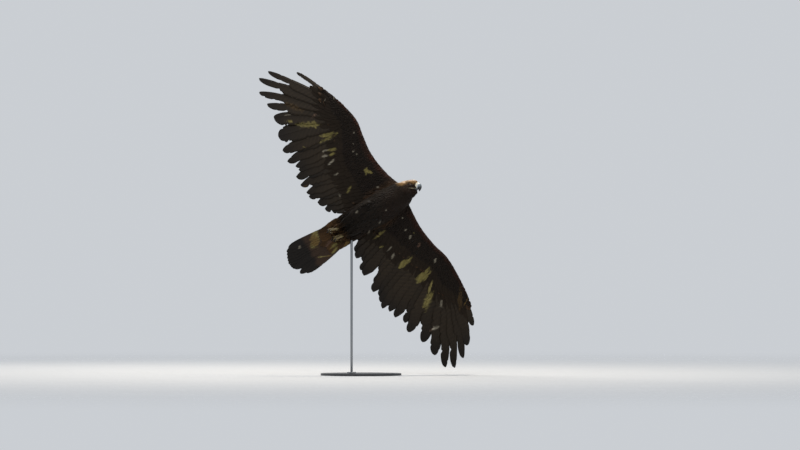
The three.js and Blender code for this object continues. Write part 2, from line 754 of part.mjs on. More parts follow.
add(eagle, "stand_base", standBase(), lacquer);
const toWorld = bankFrame.clone().setPosition(BODY_FROM_BASE, 0, BODY_HEIGHT);
add(eagle, "stand_collar", standCollar(), steel);
addSolid(eagle, "stand_rod", standRod(bodyCut.transform(toWorld.elements)), steel);

export default eagle;
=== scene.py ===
# %% [markdown]
# # A golden eagle in a banked turn
# The solids of this bird are already made: a trunk, a head, four lengths of wing, a tail, legs, feet and a
# stand. They carry the true sizes, but a bird is mostly feathers, and a few thousand flat faces can't show
# them. This lesson dresses the solids: one soft skin, then every feather as a thin mesh of its own.

# %% Load the solids
import json
import math

import bpy
import numpy as np
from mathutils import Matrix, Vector
from mathutils.bvhtree import BVHTree
from mathutils.kdtree import KDTree

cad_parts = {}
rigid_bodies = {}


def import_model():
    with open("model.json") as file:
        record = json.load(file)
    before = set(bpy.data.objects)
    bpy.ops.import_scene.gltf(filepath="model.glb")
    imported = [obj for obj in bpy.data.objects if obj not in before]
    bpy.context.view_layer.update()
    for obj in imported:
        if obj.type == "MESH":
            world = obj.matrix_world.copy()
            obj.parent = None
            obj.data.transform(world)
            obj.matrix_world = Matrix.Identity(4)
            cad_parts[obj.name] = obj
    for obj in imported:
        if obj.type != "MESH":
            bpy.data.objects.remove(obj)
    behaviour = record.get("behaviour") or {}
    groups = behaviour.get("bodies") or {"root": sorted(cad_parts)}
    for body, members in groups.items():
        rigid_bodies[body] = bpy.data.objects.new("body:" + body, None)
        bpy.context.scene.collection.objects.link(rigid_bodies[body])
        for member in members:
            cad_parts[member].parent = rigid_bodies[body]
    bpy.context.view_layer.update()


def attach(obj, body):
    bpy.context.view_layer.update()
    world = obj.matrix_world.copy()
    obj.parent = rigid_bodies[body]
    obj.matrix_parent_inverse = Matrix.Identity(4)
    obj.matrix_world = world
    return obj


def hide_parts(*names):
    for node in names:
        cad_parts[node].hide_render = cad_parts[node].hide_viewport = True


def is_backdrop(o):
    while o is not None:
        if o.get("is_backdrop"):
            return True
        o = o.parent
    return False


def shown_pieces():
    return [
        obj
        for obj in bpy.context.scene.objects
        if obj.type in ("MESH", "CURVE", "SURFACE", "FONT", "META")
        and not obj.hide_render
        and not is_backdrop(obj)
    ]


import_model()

# %% [markdown]
# ## The bird's own frame
# A bird is easiest to describe in its own directions: x towards the bill, y to its left and z to its back,
# in millimetres from the middle of the body. The real bird is banked on its side, so one function turns
# those numbers into places in the room. It is the only place where the bank is written down.

# %% From the bird's frame to the room
CLIMB = math.radians(30.6)  # the body's line above the horizon
BODY_MIDDLE = np.array([62.0, 0.0, 925.0])
AHEAD = np.array([math.cos(CLIMB), 0.0, math.sin(CLIMB)])
LEFT = np.array([math.sin(CLIMB), 0.0, -math.cos(CLIMB)])
BACK = np.array([0.0, 1.0, 0.0])
SIDES = {"left": 1, "right": -1}  # the sign of y on each side


def to_room(points):
    """Bird's frame in mm to the room in metres: the body's middle, plus x times the way ahead, y times the
    way to the bird's left and z times the way of its back."""
    points = np.asarray(points, float)
    turned = points[..., :1] * AHEAD + points[..., 1:2] * LEFT + points[..., 2:] * BACK
    return (BODY_MIDDLE + turned) / 1000


def to_bird(places):
    """The room in metres back to the bird's frame in mm: the same three directions, read the other way."""
    from_middle = np.asarray(places, float) * 1000 - BODY_MIDDLE
    return np.stack([from_middle @ AHEAD, from_middle @ LEFT, from_middle @ BACK], -1)


def unit(vectors):
    """Vectors of length one: each is divided by the root of its squared parts."""
    return vectors / np.maximum(np.linalg.norm(vectors, axis=-1, keepdims=True), 1e-9)


def ease(low, high, value):
    """0 below low, 1 above high, and the curve 3t^2 - 2t^3 between them."""
    t = np.clip((np.asarray(value, float) - low) / (high - low), 0, 1)
    return t * t * (3 - 2 * t)


def mix(a, b, share):
    """share of the way from a to b."""
    return a + (b - a) * share


def through(rows):
    """A smooth curve through rows [x, a, b, ...]. Each stretch is a cubic that leaves a row with the slope
    from the row before it to the row after it. The last axis of the answer holds a, b, ..."""
    rows = np.asarray(rows, float)
    x, y = rows[:, 0], rows[:, 1:]
    order = np.arange(len(x))
    before, after = np.maximum(order - 1, 0), np.minimum(order + 1, len(x) - 1)
    slope = (y[after] - y[before]) / (x[after] - x[before])[:, None]

    def curve(at):
        """The values at x = at."""
        at = np.asarray(at, float)
        i = np.clip(np.searchsorted(x, at) - 1, 0, len(x) - 2)
        wide = (x[i + 1] - x[i])[..., None]
        t = np.clip((at - x[i])[..., None] / wide, 0, 1)
        t2, t3 = t * t, t * t * t
        ends = (2 * t3 - 3 * t2 + 1) * y[i] + (3 * t2 - 2 * t3) * y[i + 1]
        return ends + wide * ((t3 - 2 * t2 + t) * slope[i] + (t3 - t2) * slope[i + 1])

    return curve


print("bill end of the body in the room:", to_room([250, 0, 0]).round(3))

# %% [markdown]
# ## Meshes from whole arrays
# Every piece below is a grid of points worked out at once, so one helper turns points and faces into a mesh.
# A closed tube is a stack of rings with a point at each end. Its faces are the same for every tube, whether
# it is a trunk, a toe or the shaft of a bill, so they come from a second helper.

# %% Mesh helpers
def make_object(name, points, faces, maps=None, tones=None, in_room=False):
    """A mesh object. points are in the bird's frame, or in metres in the room. faces is a list of arrays of 3
    or 4 corner indices a row, and maps gives each UV map one pair a point. tones is a linear colour, one for
    the piece or one a point, with a fourth number for how strongly the feather is barred there."""
    mesh = bpy.data.meshes.new(name)
    places = points if in_room else to_room(points)
    mesh.vertices.add(len(places))
    mesh.vertices.foreach_set("co", np.ascontiguousarray(places, np.float32).ravel())
    corners = np.concatenate([f.ravel() for f in faces]).astype(np.int32)
    sizes = np.concatenate([np.full(len(f), f.shape[1]) for f in faces])
    mesh.loops.add(len(corners))
    mesh.loops.foreach_set("vertex_index", corners)
    mesh.polygons.add(len(sizes))
    mesh.polygons.foreach_set("loop_start", np.r_[0, np.cumsum(sizes)[:-1]].astype(np.int32))
    mesh.update(calc_edges=True)
    mesh.polygons.foreach_set("use_smooth", np.ones(len(sizes), bool))
    for title, pairs in (maps or {}).items():
        layer = mesh.uv_layers.new(name=title)
        layer.uv.foreach_set("vector", np.asarray(pairs, np.float32)[corners].ravel())
    if tones is not None:
        tones = np.broadcast_to(tones, (len(places), np.shape(tones)[-1]))
        bars = np.zeros((len(tones), 4 - tones.shape[1]))
        rgba = np.concatenate([tones, bars], 1).astype(np.float32)
        layer = mesh.color_attributes.new("Plume", "FLOAT_COLOR", "POINT")
        layer.data.foreach_set("color", rgba.ravel())
    piece = bpy.data.objects.new(name, mesh)
    bpy.context.scene.collection.objects.link(piece)
    return piece


def tube_faces(rings, around):
    """Corner indices for a tube of rings x around points, followed by its first and last end point."""
    i, j = np.meshgrid(np.arange(rings - 1), np.arange(around), indexing="ij")
    a, b = i * around + j, i * around + (j + 1) % around
    walls = np.stack([a, b, b + around, a + around], -1).reshape(-1, 4)
    k, last = np.arange(around), (rings - 1) * around
    first_end, last_end = np.full(around, rings * around), np.full(around, rings * around + 1)
    caps = np.concatenate([
        np.stack([first_end, (k + 1) % around, k], -1),
        np.stack([last_end, last + k, last + (k + 1) % around], -1),
    ])
    return [walls, caps]


def oval_tube(centres, sides, ups, half, top, bottom, around=24, sharp=1.0):
    """Rings about centres: half the width times the cosine along sides, and top or bottom times the sine
    along ups. sharp above 1 draws the top and bottom in to a ridge. The ends close in the ring's middle.
    Returns points and faces, as every tube below does."""
    angle = np.linspace(0, 2 * math.pi, around, endpoint=False)
    sine = np.sin(angle)
    wide = np.asarray(half)[:, None] * np.cos(angle) * (1 - (1 - 1 / sharp) * np.abs(sine))
    high = np.where(sine > 0, np.asarray(top)[:, None], np.asarray(bottom)[:, None]) * sine
    rings = centres[:, None] + wide[..., None] * sides[:, None] + high[..., None] * ups[:, None]
    points = np.concatenate([rings.reshape(-1, 3), centres[:1], centres[-1:]])
    return points, tube_faces(len(centres), around)


def along_curve(knots, t):
    """Points and unit directions at t, from 0 to 1, on the smooth curve through knots, which are spread
    evenly over t."""
    knots = np.asarray(knots, float)
    curve = through(np.column_stack([np.linspace(0, 1, len(knots)), knots]))
    step = 1e-3
    ahead = unit(curve(np.minimum(t + step, 1)) - curve(np.maximum(t - step, 0)))
    return curve(t), ahead


def curve_tube(knots, size, around=24, sharp=1.0, stations=24, ends=(0, 1)):
    """An oval tube along a curve, its sides as near to the way of y as the curve lets them. size gives half
    the width, the height and the depth at a share of the tube's length. Where it gives fewer columns, the
    last one stands for the rest."""
    centres, ahead = along_curve(knots, np.linspace(*ends, stations))
    sideways = np.array([0.0, 1, 0])
    sides = unit(sideways - (ahead @ sideways)[:, None] * ahead)
    columns = size(np.linspace(0, 1, stations)).T
    half, top, bottom = (columns[min(i, len(columns) - 1)] for i in range(3))
    return oval_tube(centres, sides, np.cross(ahead, sides), half, top, bottom, around, sharp)


print("a tube of 4 rings of 6 points has", sum(len(rows) for rows in tube_faces(4, 6)), "faces")

# %% [markdown]
# ## The forms under the feathers
# The body is a long egg, deepest at the breast. The neck is short and thick in flight, and the head sits on
# it level with the horizon although the body is banked, turned a little towards the viewer. Each form is
# one tube of oval rings. A row holds x, on the trunk the ring's middle, its half width and its two depths.

# %% Trunk, head and legs as tubes
TRUNK = through([
    [-236, 4, 46, 15, 12],
    [-212, 4, 68, 22, 20],
    [-180, 3, 80, 33, 36],
    [-150, 3, 87, 44, 56],
    [-90, 0, 90, 54, 80],
    [-30, 0, 90, 60, 97],
    [40, 0, 92, 64, 106],
    [100, -1, 91, 62, 100],
    [150, -3, 84, 56, 84],
    [185, -4, 78, 50, 68],
    [212, -5, 73, 46, 58],
    [236, -7, 60, 42, 50],
    [248, -8, 50, 33, 42],
    [257, -9, 35, 22, 28],
])
SKULL = through([
    [-76, 24, 14, 32],
    [-62, 38, 24, 54],
    [-40, 43, 30, 73],
    [-14, 39, 36, 77],
    [2, 33, 38, 74],
    [16, 27, 37, 69],
    [27, 20, 33, 60],
    [36, 12, 25, 44],
])
TRUNK_ENDS, SKULL_ENDS = (-236, 257), (-76, 36)
HEAD_AT = np.array([274.0, -16.0, 5.0])
HEAD_YAW = math.radians(33)
HEAD_ROLL = math.radians(16)


def head_axes():
    """The head's own ahead, left and up in the bird's frame: level with the horizon, then turned towards
    the viewer by the yaw, then rolled about its own bill by the roll."""
    level_ahead = np.array([math.cos(CLIMB), math.sin(CLIMB), 0])
    level_up = np.array([math.sin(CLIMB), -math.cos(CLIMB), 0])
    ahead = level_ahead * math.cos(HEAD_YAW) - np.array([0, 0, 1]) * math.sin(HEAD_YAW)
    level_left = np.cross(level_up, ahead)
    up = level_up * math.cos(HEAD_ROLL) + level_left * math.sin(HEAD_ROLL)
    return np.array([ahead, np.cross(up, ahead), up])


HEAD_AXES = head_axes()


def from_head(points):
    """The head's frame to the bird's: x, y and z times the head's ahead, left and up."""
    return HEAD_AT + np.asarray(points, float) @ HEAD_AXES


def to_head(points):
    """The bird's frame to the head's."""
    return (np.asarray(points, float) - HEAD_AT) @ HEAD_AXES.T


def level_ways(count):
    """The ways of y and of z, count times over: the sides and ups of rings that stand square to x."""
    return np.tile([0.0, 1, 0], (count, 1)), np.tile([0.0, 0, 1], (count, 1))


def straight_tube(table, x, grow, around):
    """A tube along x through the rows of a table, each ring grown by grow. A table row is the ring's middle
    on y, if it has four columns, then half width, height above and depth below."""
    rows = table(x)
    middle = rows[:, 0] if rows.shape[1] == 4 else np.zeros(len(x))
    half, above, below = (rows[:, c] + grow for c in (-3, -2, -1))
    centres = np.stack([x, middle, np.zeros(len(x))], -1)
    return oval_tube(centres, *level_ways(len(x)), half, above, below, around)


LEG_KNOTS = [[60, 44, -40], [0, 50, -66], [-80, 45, -70], [-150, 33, -58], [-212, 24, -47]]
LEG_RADII = through([[0, 20, 20], [0.3, 33, 32], [0.5, 32, 28], [0.75, 20, 18], [1, 10, 10]])
LEG_MIDDLE = {1: 3, -1: 1}  # the ankles lie about this line, for the left and the right leg


def leg_knots(side):
    """Middle line of a leg from hip to ankle. The right leg mirrors the left one, but for its ankle."""
    knots = np.array(LEG_KNOTS, float) * [1, side, 1]
    knots[-1, 1] += LEG_MIDDLE[side]
    return knots


print("head looks along", HEAD_AXES[0].round(2), "in the bird's frame")

# %% [markdown]
# ## The wing as a curved plane
# A wing is thin, so it is best described like a sheet: how far out along the wing, how far forward, and how
# high above the sheet. The sheet rises from the shoulder in a shallow V and curls up towards the tip, as the
# air bends a real wing. Its front edge, the rear edge of the fleshy arm and the line of the quills are
# smooth curves of the distance out. The two wings differ, because the bird is turning.

# %% The wing's sheet
SECONDARIES, PRIMARIES = 13, 10
WING_ROOT_HEIGHT = 34
FLIGHT_PITCH = 0.085
WINGS = {
    "left": dict(
        side=1, rise=0.11, hand=738, outs=(103, 535),
        lead=through([[50, 210], [200, 199], [330, 215], [440, 243], [580, 243], [690, 231], [745, 219]]),
        rear=through([[50, -48], [220, 20], [340, 62], [440, 108], [560, 104], [660, 150], [745, 200]]),
        roots=through([[0, 98, 20], [6, 225, 80], [12, 412, 158], [13, 444, 168], [22, 650, 212]]),
        ends=[-150, -196, -209, -186, -222, -222, -130, -192, -224, -206, -217, -226, -200],
        tips=[(580, -190), (634, -158), (690, -168), (782, -127), (882, -106),
              (974, -88), (1004, -44), (981, 27), (929, 82), (848, 169)],
        webs=[22, 22, 30, 32, 28, 21, 19, 19, 22, 14], slim=[.7, .7, .65, .55, .72, .66, .6, .58, .56, .66],
    ),
    "right": dict(
        side=-1, rise=0.15, hand=757, outs=(130, 452),
        lead=through([[50, 227], [150, 191], [290, 171], [400, 182], [500, 197], [620, 175], [700, 147],
                      [770, 118]]),
        rear=through([[50, -48], [220, -22], [340, -20], [440, 34], [520, 72], [620, 62], [700, 90],
                      [770, 108]]),
        roots=through([[0, 100, 15], [6, 250, 66], [12, 450, 126], [13, 482, 132], [22, 690, 134]]),
        ends=[-190, -219, -195, -236, -215, -262, -262, -215, -270, -205, -268, -235, -240],
        tips=[(500, -266), (536, -192), (566, -258), (650, -238), (760, -204),
              (844, -199), (926, -204), (996, -164), (1004, -99), (914, 38)],
        webs=[22, 22, 24, 48, 26, 15, 19, 15, 9, 11], slim=[.7, .7, .75, .95, 1, .66, .58, .58, .5, .38],
    ),
}
ARM_START = 50  # mm out, inside the breast, where the arms begin
WRIST_OUT, CURL = 520, 0.00034  # from here on the hand curls up, by CURL times the squared distance in mm
REAR_FALL = 0.035  # fall of the sheet for each mm behind the front edge
LEAD_OUT = 740  # past this the front edge is read as if it ended
AEROFOIL = through([[0, 0], [0.06, 0.6], [0.24, 1], [0.52, 0.9], [0.8, 0.52], [1, 0.16]])
ARM_DEPTH = {"left": through([[50, 50], [440, 32], [688, 13], [738, 4]]),
             "right": through([[50, 50], [440, 32], [707, 13], [757, 4]])}


def wing_height(wing, out, forward):
    """Height of the sheet: the shallow V, plus a curl that grows with the square of the distance past the
    wrist, less a slight fall behind the front edge."""
    curl = np.maximum(out - WRIST_OUT, 0)
    aft = np.maximum(wing["lead"](np.minimum(out, LEAD_OUT))[..., 0] - forward, 0)
    return WING_ROOT_HEIGHT + wing["rise"] * (out - 80) + CURL * curl * curl - REAR_FALL * aft


def place_on_wing(wing, out, forward, height):
    """A place on the sheet, height above it, in the bird's frame."""
    level = wing_height(wing, out, forward) + height
    return np.stack([forward, wing["side"] * out, level], -1)


def arm_tube(name, slim, around=36, stations=44):
    """The fleshy arm: an aerofoil section, round in front and thin behind, carried from the body to the end
    of the hand. slim is taken off its depth."""
    wing = WINGS[name]
    out = np.linspace(ARM_START, wing["hand"], stations)
    turn = np.linspace(0, 2 * math.pi, around, endpoint=False)
    share = (1 - np.cos(turn)) / 2
    part = AEROFOIL(share)[..., 0] * np.where(np.sin(turn) >= 0, 1, -1)
    front, back = wing["lead"](out), wing["rear"](out)
    depth = np.maximum(ARM_DEPTH[name](out) - slim, 3)
    forward = mix(front + 0.5, back + 1, share[None])
    rings = place_on_wing(wing, np.broadcast_to(out[:, None], forward.shape), forward, part * depth / 2)
    if wing["side"] > 0:
        rings = rings[:, ::-1]
    points = np.concatenate([rings.reshape(-1, 3), rings[:1].mean(1), rings[-1:].mean(1)])
    return points, tube_faces(stations, around)


def each_wing(points):
    """Each wing, with the mask of the places on its side and how far out those are."""
    for wing in WINGS.values():
        here = points[:, 1] * wing["side"] > 0
        yield wing, here, np.abs(points[here, 1])


def share_of_arm(wing, points, narrowest):
    """How far back places on one arm lie: 0 at the front edge and 1 at the rear edge. The arm counts as no
    narrower than narrowest."""
    out = np.abs(points[:, 1])
    front, back = wing["lead"](out)[:, 0], wing["rear"](out)[:, 0]
    return (front - points[:, 0]) / np.maximum(front - back, narrowest)


def flight_line(wing, k):
    """Root and tip, as (out, forward), of flight feather k: 0 beside the body, 22 at the front of the
    hand."""
    k = np.asarray(k, float)
    root = wing["roots"](k)
    numbers = np.arange(SECONDARIES + PRIMARIES)
    secondary_outs = mix(*wing["outs"], np.arange(SECONDARIES) / (SECONDARIES - 1))
    outs = np.r_[secondary_outs, [t[0] for t in wing["tips"]]]
    ends = np.r_[wing["ends"], [t[1] for t in wing["tips"]]]
    return root, np.stack([np.interp(k, numbers, outs), np.interp(k, numbers, ends)], -1)


def feather_aim(wing, out):
    """The unit way, as (out, forward), in which feathers lie at a distance out: that of the flight feather
    whose root is there."""
    root, tip = flight_line(wing, np.arange(SECONDARIES + PRIMARIES))
    way = unit(tip - root)
    return unit(np.stack([np.interp(out, root[:, 0], way[:, c]) for c in (0, 1)], -1))


for name, wing in WINGS.items():
    print(name, "wing reaches", max(t[0] for t in wing["tips"]), "mm from the body's middle")

# %% [markdown]
# ## Brow, cheeks and lids
# The stern look of an eagle comes from a bony ridge over each eye. Brow, cheeks and chin are ellipsoids let
# into the skull, and the rim of the lids is a thin ring that hugs the eyeball.

# %% Ellipsoids and the rim of the lids
BODY_COAT, HEAD_COAT, ARM_COAT = 4.0, 1.2, 1.0  # mm of feathers over the skin
EYE_AT = np.array([5.0, 24.5, 4.0])
EYE_RADIUS = 10.0
SOCKET_DEPTH = 3.6
EYE_LOOK = unit(np.array([0.38, 0.925, 0.0]))


def ball(centre, radii, turn=0.0, rows=20, around=24):
    """An ellipsoid as a tube along its own x: rings of the sine of the angle from the front pole, then
    turned about y."""
    angle = np.linspace(0.12, math.pi - 0.12, rows)
    centres = np.stack([-np.cos(angle) * radii[0], 0 * angle, 0 * angle], -1)
    half, high = radii[1] * np.sin(angle), radii[2] * np.sin(angle)
    points, faces = oval_tube(centres, *level_ways(rows), half, high, high, around)
    points[-2:, 0] = [-radii[0], radii[0]]
    x = points[:, 0] * math.cos(turn) + points[:, 2] * math.sin(turn)
    z = points[:, 2] * math.cos(turn) - points[:, 0] * math.sin(turn)
    return np.stack([x, points[:, 1], z], -1) + centre, faces


def lid_ring(side, around=12, rows=40):
    """The rim of the lids: a thin ring that hugs the eyeball, flatter above than below and drawn out to a
    corner in front and behind. Its height along the eye's look is the ball's own height at its distance."""
    turn = np.linspace(0, 2 * math.pi, rows, endpoint=False)
    roll = np.linspace(0, 2 * math.pi, around, endpoint=False)
    corner = np.abs(np.cos(turn)) ** 5
    reach = np.where(np.sin(turn) > 0, 6.6, 7.4) + 0.9 * np.abs(np.cos(turn)) + 3.2 * corner
    ahead, up = np.array([EYE_LOOK[1], -EYE_LOOK[0], 0]), np.array([0, 0, 1.0])
    out = np.cos(turn)[:, None] * ahead + np.sin(turn)[:, None] * up
    stand = np.sqrt(np.maximum(EYE_RADIUS ** 2 - reach ** 2, 16)) + 0.4
    rings = out[:, None] * (reach[:, None, None] + 0.95 * np.cos(roll)[None, :, None])
    rings = rings + EYE_LOOK * (stand[:, None, None] + 1.1 * np.sin(roll)[None, :, None])
    points = (rings.reshape(-1, 3) + EYE_AT) * [1, side, 1]
    i, j = np.meshgrid(np.arange(rows), np.arange(around), indexing="ij")
    a, b = i * around + j, i * around + (j + 1) % around
    c, d = ((i + 1) % rows) * around + (j + 1) % around, ((i + 1) % rows) * around + j
    walls = np.stack([a, b, c, d], -1).reshape(-1, 4)
    return points, [walls if side > 0 else walls[:, ::-1]]


print("the left eye looks along", EYE_LOOK.round(2), "in the head's frame")

# %% [markdown]
# ## One skin
# Trunk, head, legs and arms are separate tubes, but a bird has one skin. The tubes are thrown into one mesh,
# and a voxel remesh wraps a single new surface round them, as cling film would. It rounds the joins where the
# wing runs into the breast. The body takes voxels of 4.5 mm and the head finer ones, for the brow and lids.
# The skin lies inside the solids by the depth of the feathers, so that the coat comes out at their size.

# %% Fuse the forms into the skin
BODY_VOXEL, HEAD_VOXEL = 4.5, 1.5  # in mm


def joined(parts):
    """Several (points, faces) pairs as one: each part's indices are moved past the points before it."""
    points, faces, first = [], [], 0
    for part_points, part_faces in parts:
        points.append(part_points)
        faces += [f + first for f in part_faces]
        first += len(part_points)
    return np.concatenate(points), faces


def wrapped(parts, voxel_mm, smoothing):
    """One closed surface round overlapping closed parts: a voxel remesh, then a smoothing that moves each
    point towards the mean of its neighbours. Returns its points in the bird's frame and its faces."""
    rough = make_object("rough", *joined(parts))
    remesh = rough.modifiers.new("wrap", "REMESH")
    remesh.mode, remesh.voxel_size = "VOXEL", voxel_mm / 1000
    smooth = rough.modifiers.new("settle", "SMOOTH")
    smooth.factor, smooth.iterations = 0.5, smoothing
    done = rough.evaluated_get(bpy.context.evaluated_depsgraph_get()).to_mesh()
    places = np.empty(len(done.vertices) * 3, np.float32)
    done.vertices.foreach_get("co", places)
    corners = np.empty(len(done.loops), np.int32)
    done.loops.foreach_get("vertex_index", corners)
    faces = corners.reshape(-1, 4)
    bpy.data.objects.remove(rough)
    return to_bird(places.reshape(-1, 3)), [faces]


def head_parts():
    """Skull, chin, brow ridges, lids and cheeks, in the head's frame. The skull has an eye socket: near each
    eye it is pushed in against the eye's look, by less and less up to 16 mm from the eye."""
    bone, bone_faces = straight_tube(SKULL, np.linspace(*SKULL_ENDS, 50), -HEAD_COAT, 72)
    for side in SIDES.values():
        gone = bone * [1, side, 1] - EYE_AT
        far = np.linalg.norm(gone - (gone @ EYE_LOOK)[:, None] * EYE_LOOK, axis=1)
        dent = SOCKET_DEPTH * ease(16, 6, far) * (bone[:, 1] * side > 8)
        bone = bone - dent[:, None] * EYE_LOOK * [1, side, 1]
    parts = [(bone, bone_faces), ball([20, 0, -43], (25, 13, 12), turn=-0.4)]
    for side in SIDES.values():
        brow = ball([8, side * 24.5, 14.6], (21, 10.8, 4.4), turn=0.25)
        cheek = ball([-6, side * 24, -11], (24, 11, 9), turn=-0.1)
        parts += [brow, lid_ring(side), cheek]
    return [(from_head(points), faces) for points, faces in parts]


def leg_size(t):
    """Half width and half depth of a leg less its coat, which thins by six tenths on the way down."""
    return LEG_RADII(t) - BODY_COAT * (1 - 0.6 * t)[:, None]


# the body's skin takes in the rear of the skull, a little deeper than the head's own skin
skull_rear, faces = straight_tube(SKULL, np.linspace(SKULL_ENDS[0], 20, 24), -HEAD_COAT - 1.5, 32)
body_parts = [straight_tube(TRUNK, np.linspace(*TRUNK_ENDS, 60), -BODY_COAT, 48)]
body_parts.append((from_head(skull_rear), faces))
body_parts += [curve_tube(leg_knots(side), leg_size, stations=30) for side in SIDES.values()]
body_parts += [arm_tube(name, ARM_COAT) for name in WINGS]

body_skin = wrapped(body_parts, BODY_VOXEL, 6)
head_skin = wrapped(head_parts(), HEAD_VOXEL, 3)
skin_points, skin_faces = joined([body_skin, head_skin])
print("skin:", len(body_skin[0]), "points on the body,", len(head_skin[0]), "on the head")

# %% [markdown]
# ## Colours where they belong
# A golden eagle is dark brown, with a tawny nape and rusty feathers along the front of the wing. This bird
# also has worn and moulting feathers, which show as pale strokes on the underside. Each stroke is given as a
# worker would measure it on the real bird: from where to where, how wide and in which tone.

# %% The tones and the strokes
def linear(colour):
    """An sRGB hex colour as three linear parts: near black each is divided by 12.92, and above that it is
    the 2.4th power of (part + 0.055) / 1.055."""
    parts = np.array([int(colour[i:i + 2], 16) for i in (1, 3, 5)]) / 255
    return np.where(parts <= 0.04045, parts / 12.92, ((parts + 0.055) / 1.055) ** 2.4)


# crown is the pale tone of a painted highlight along the crown's top edge
TONES = {name: linear(colour) for name, colour in dict(
    breast="#17110b", flank="#1f160e", back="#38281a", rump="#473322", undertail="#3f2c18", gold="#8c6b3e",
    crown="#cfb9a2", face="#261910", throat="#1c130c", rust="#371b10", arm="#19120c", arm_top="#3a2a1c",
    top_bar="#7d603c", quill="#241c12", quill_tip="#17120d", tail_dark="#17130f", tail_brown="#33251a",
    olive="#766c3e", grey="#80796a", white="#c2bba8", ochre="#65502a", pink="#5c4639", brown="#41321d",
    straw="#887c4b",
).items()}

# Each stroke: tone, then y and x of its two ends and its width, in mm in the bird's frame
WING_STROKES = [
    # right wing, from the body out
    ("olive", -198, 116, -232, 92, 22), ("olive", -232, 104, -205, 80, 14),
    ("grey", -110, 105, -108, 99, 10), ("olive", -197, -20, -165, -72, 17),
    ("grey", -186, -96, -176, -116, 11), ("grey", -296, -52, -292, -72, 12),
    ("grey", -376, -30, -366, -62, 14), ("white", -367, -56, -362, -70, 10),
    ("grey", -408, -40, -424, -92, 13), ("grey", -434, -26, -452, -66, 13),
    ("olive", -420, 10, -434, -32, 20), ("olive", -400, -8, -412, -46, 18),
    ("olive", -499, 62, -531, -42, 21), ("olive", -493, 50, -497, -56, 18),
    ("olive", -588, 8, -655, -120, 36), ("olive", -668, -110, -712, -164, 12),
    ("grey", -722, -112, -735, -150, 6), ("pink", -655, 20, -640, -20, 8),
    ("grey", -680, 150, -668, 140, 6), ("grey", -697, 102, -690, 92, 6), ("grey", -452, 150, -446, 142, 7),
    ("grey", -396, 114, -392, 106, 6), ("grey", -362, 98, -356, 84, 6), ("grey", -336, 102, -330, 90, 5),
    ("olive", -530, -138, -525, -146, 10), ("brown", -330, -236, -318, -262, 20),
    ("brown", -700, -40, -800, -110, 31),
    # left wing, from the body out
    ("grey", 112, 140, 116, 134, 9), ("grey", 178, 120, 182, 112, 9), ("grey", 222, 124, 236, 112, 12),
    ("olive", 216, 150, 226, 146, 7), ("pink", 284, 148, 302, 126, 14), ("grey", 408, 182, 424, 164, 10),
    ("olive", 124, 10, 131, -70, 17), ("grey", 78, -62, 92, -78, 7), ("olive", 198, -38, 187, -68, 12),
    ("grey", 222, 2, 232, -36, 11), ("grey", 262, -8, 282, -34, 17), ("olive", 336, 62, 348, -24, 35),
    ("olive", 448, 114, 470, 26, 52), ("straw", 507, 100, 565, 38, 16), ("olive", 560, 66, 628, -18, 40),
    ("grey", 630, 86, 668, 62, 13), ("brown", 625, 218, 730, 152, 28), ("ochre", 690, 236, 726, 176, 6),
    ("grey", 752, 10, 750, -48, 14), ("white", 751, -28, 750, -46, 9), ("pink", 738, -40, 750, -60, 9),
    ("grey", 700, 8, 706, -4, 6),
]
BODY_STROKES = [
    ("grey", 24, 84, 28, 76, 8), ("grey", -54, -60, -44, -80, 10), ("grey", 12, 30, 14, 24, 5),
    ("grey", 66, 18, 70, 10, 6),
]
TAIL_STROKES = [
    ("olive", -66, -334, -6, -386, 54), ("ochre", -44, -354, -22, -372, 60),
    ("grey", -48, -446, -40, -464, 15), ("straw", 84, -336, 56, -404, 8), ("ochre", 90, -318, 82, -344, 10),
    ("olive", 66, -262, 88, -322, 14), ("pink", 10, -256, 34, -330, 20), ("olive", 40, -214, 56, -300, 22),
    ("ochre", 66, -186, 84, -238, 18),
]
print(len(TONES), "tones,", len(WING_STROKES + BODY_STROKES + TAIL_STROKES), "strokes")

# %% [markdown]
# ## Laying on a stroke
# A worn feather is pale over much of its length, and its edge is a row of frayed barbs. So a stroke keeps to
# whole feathers, and its outline is broken up along the feathers by a noise, as a dry brush would do.

# %% Uneven fields and strokes
SPILL = 0.68  # part of a stroke that comes from the point itself, the rest from the middle of its feather
STROKE_END = 0.3  # a stroke reaches past its two ends by this share of its width
STROKE_FADE = (1.3, 0.45)  # how far out its paint begins and is whole, in shares of its half size
PAINT, COVER = 0.95, (0.3, 0.74)  # how opaque it is at most, and the shares where it begins and is whole


def ripple(points, size, seed, waves=7):
    """A smooth uneven field from about -1 to 1: the mean of sines along random ways, size mm to a wave."""
    random = np.random.default_rng(seed)
    ways = unit(random.normal(size=(waves, 3))) * random.uniform(0.7, 1.6, (waves, 1))
    phase = random.uniform(0, 2 * math.pi, waves)
    return np.sin(points @ ways.T * (2 * math.pi / size) + phase).mean(-1) * 2.2


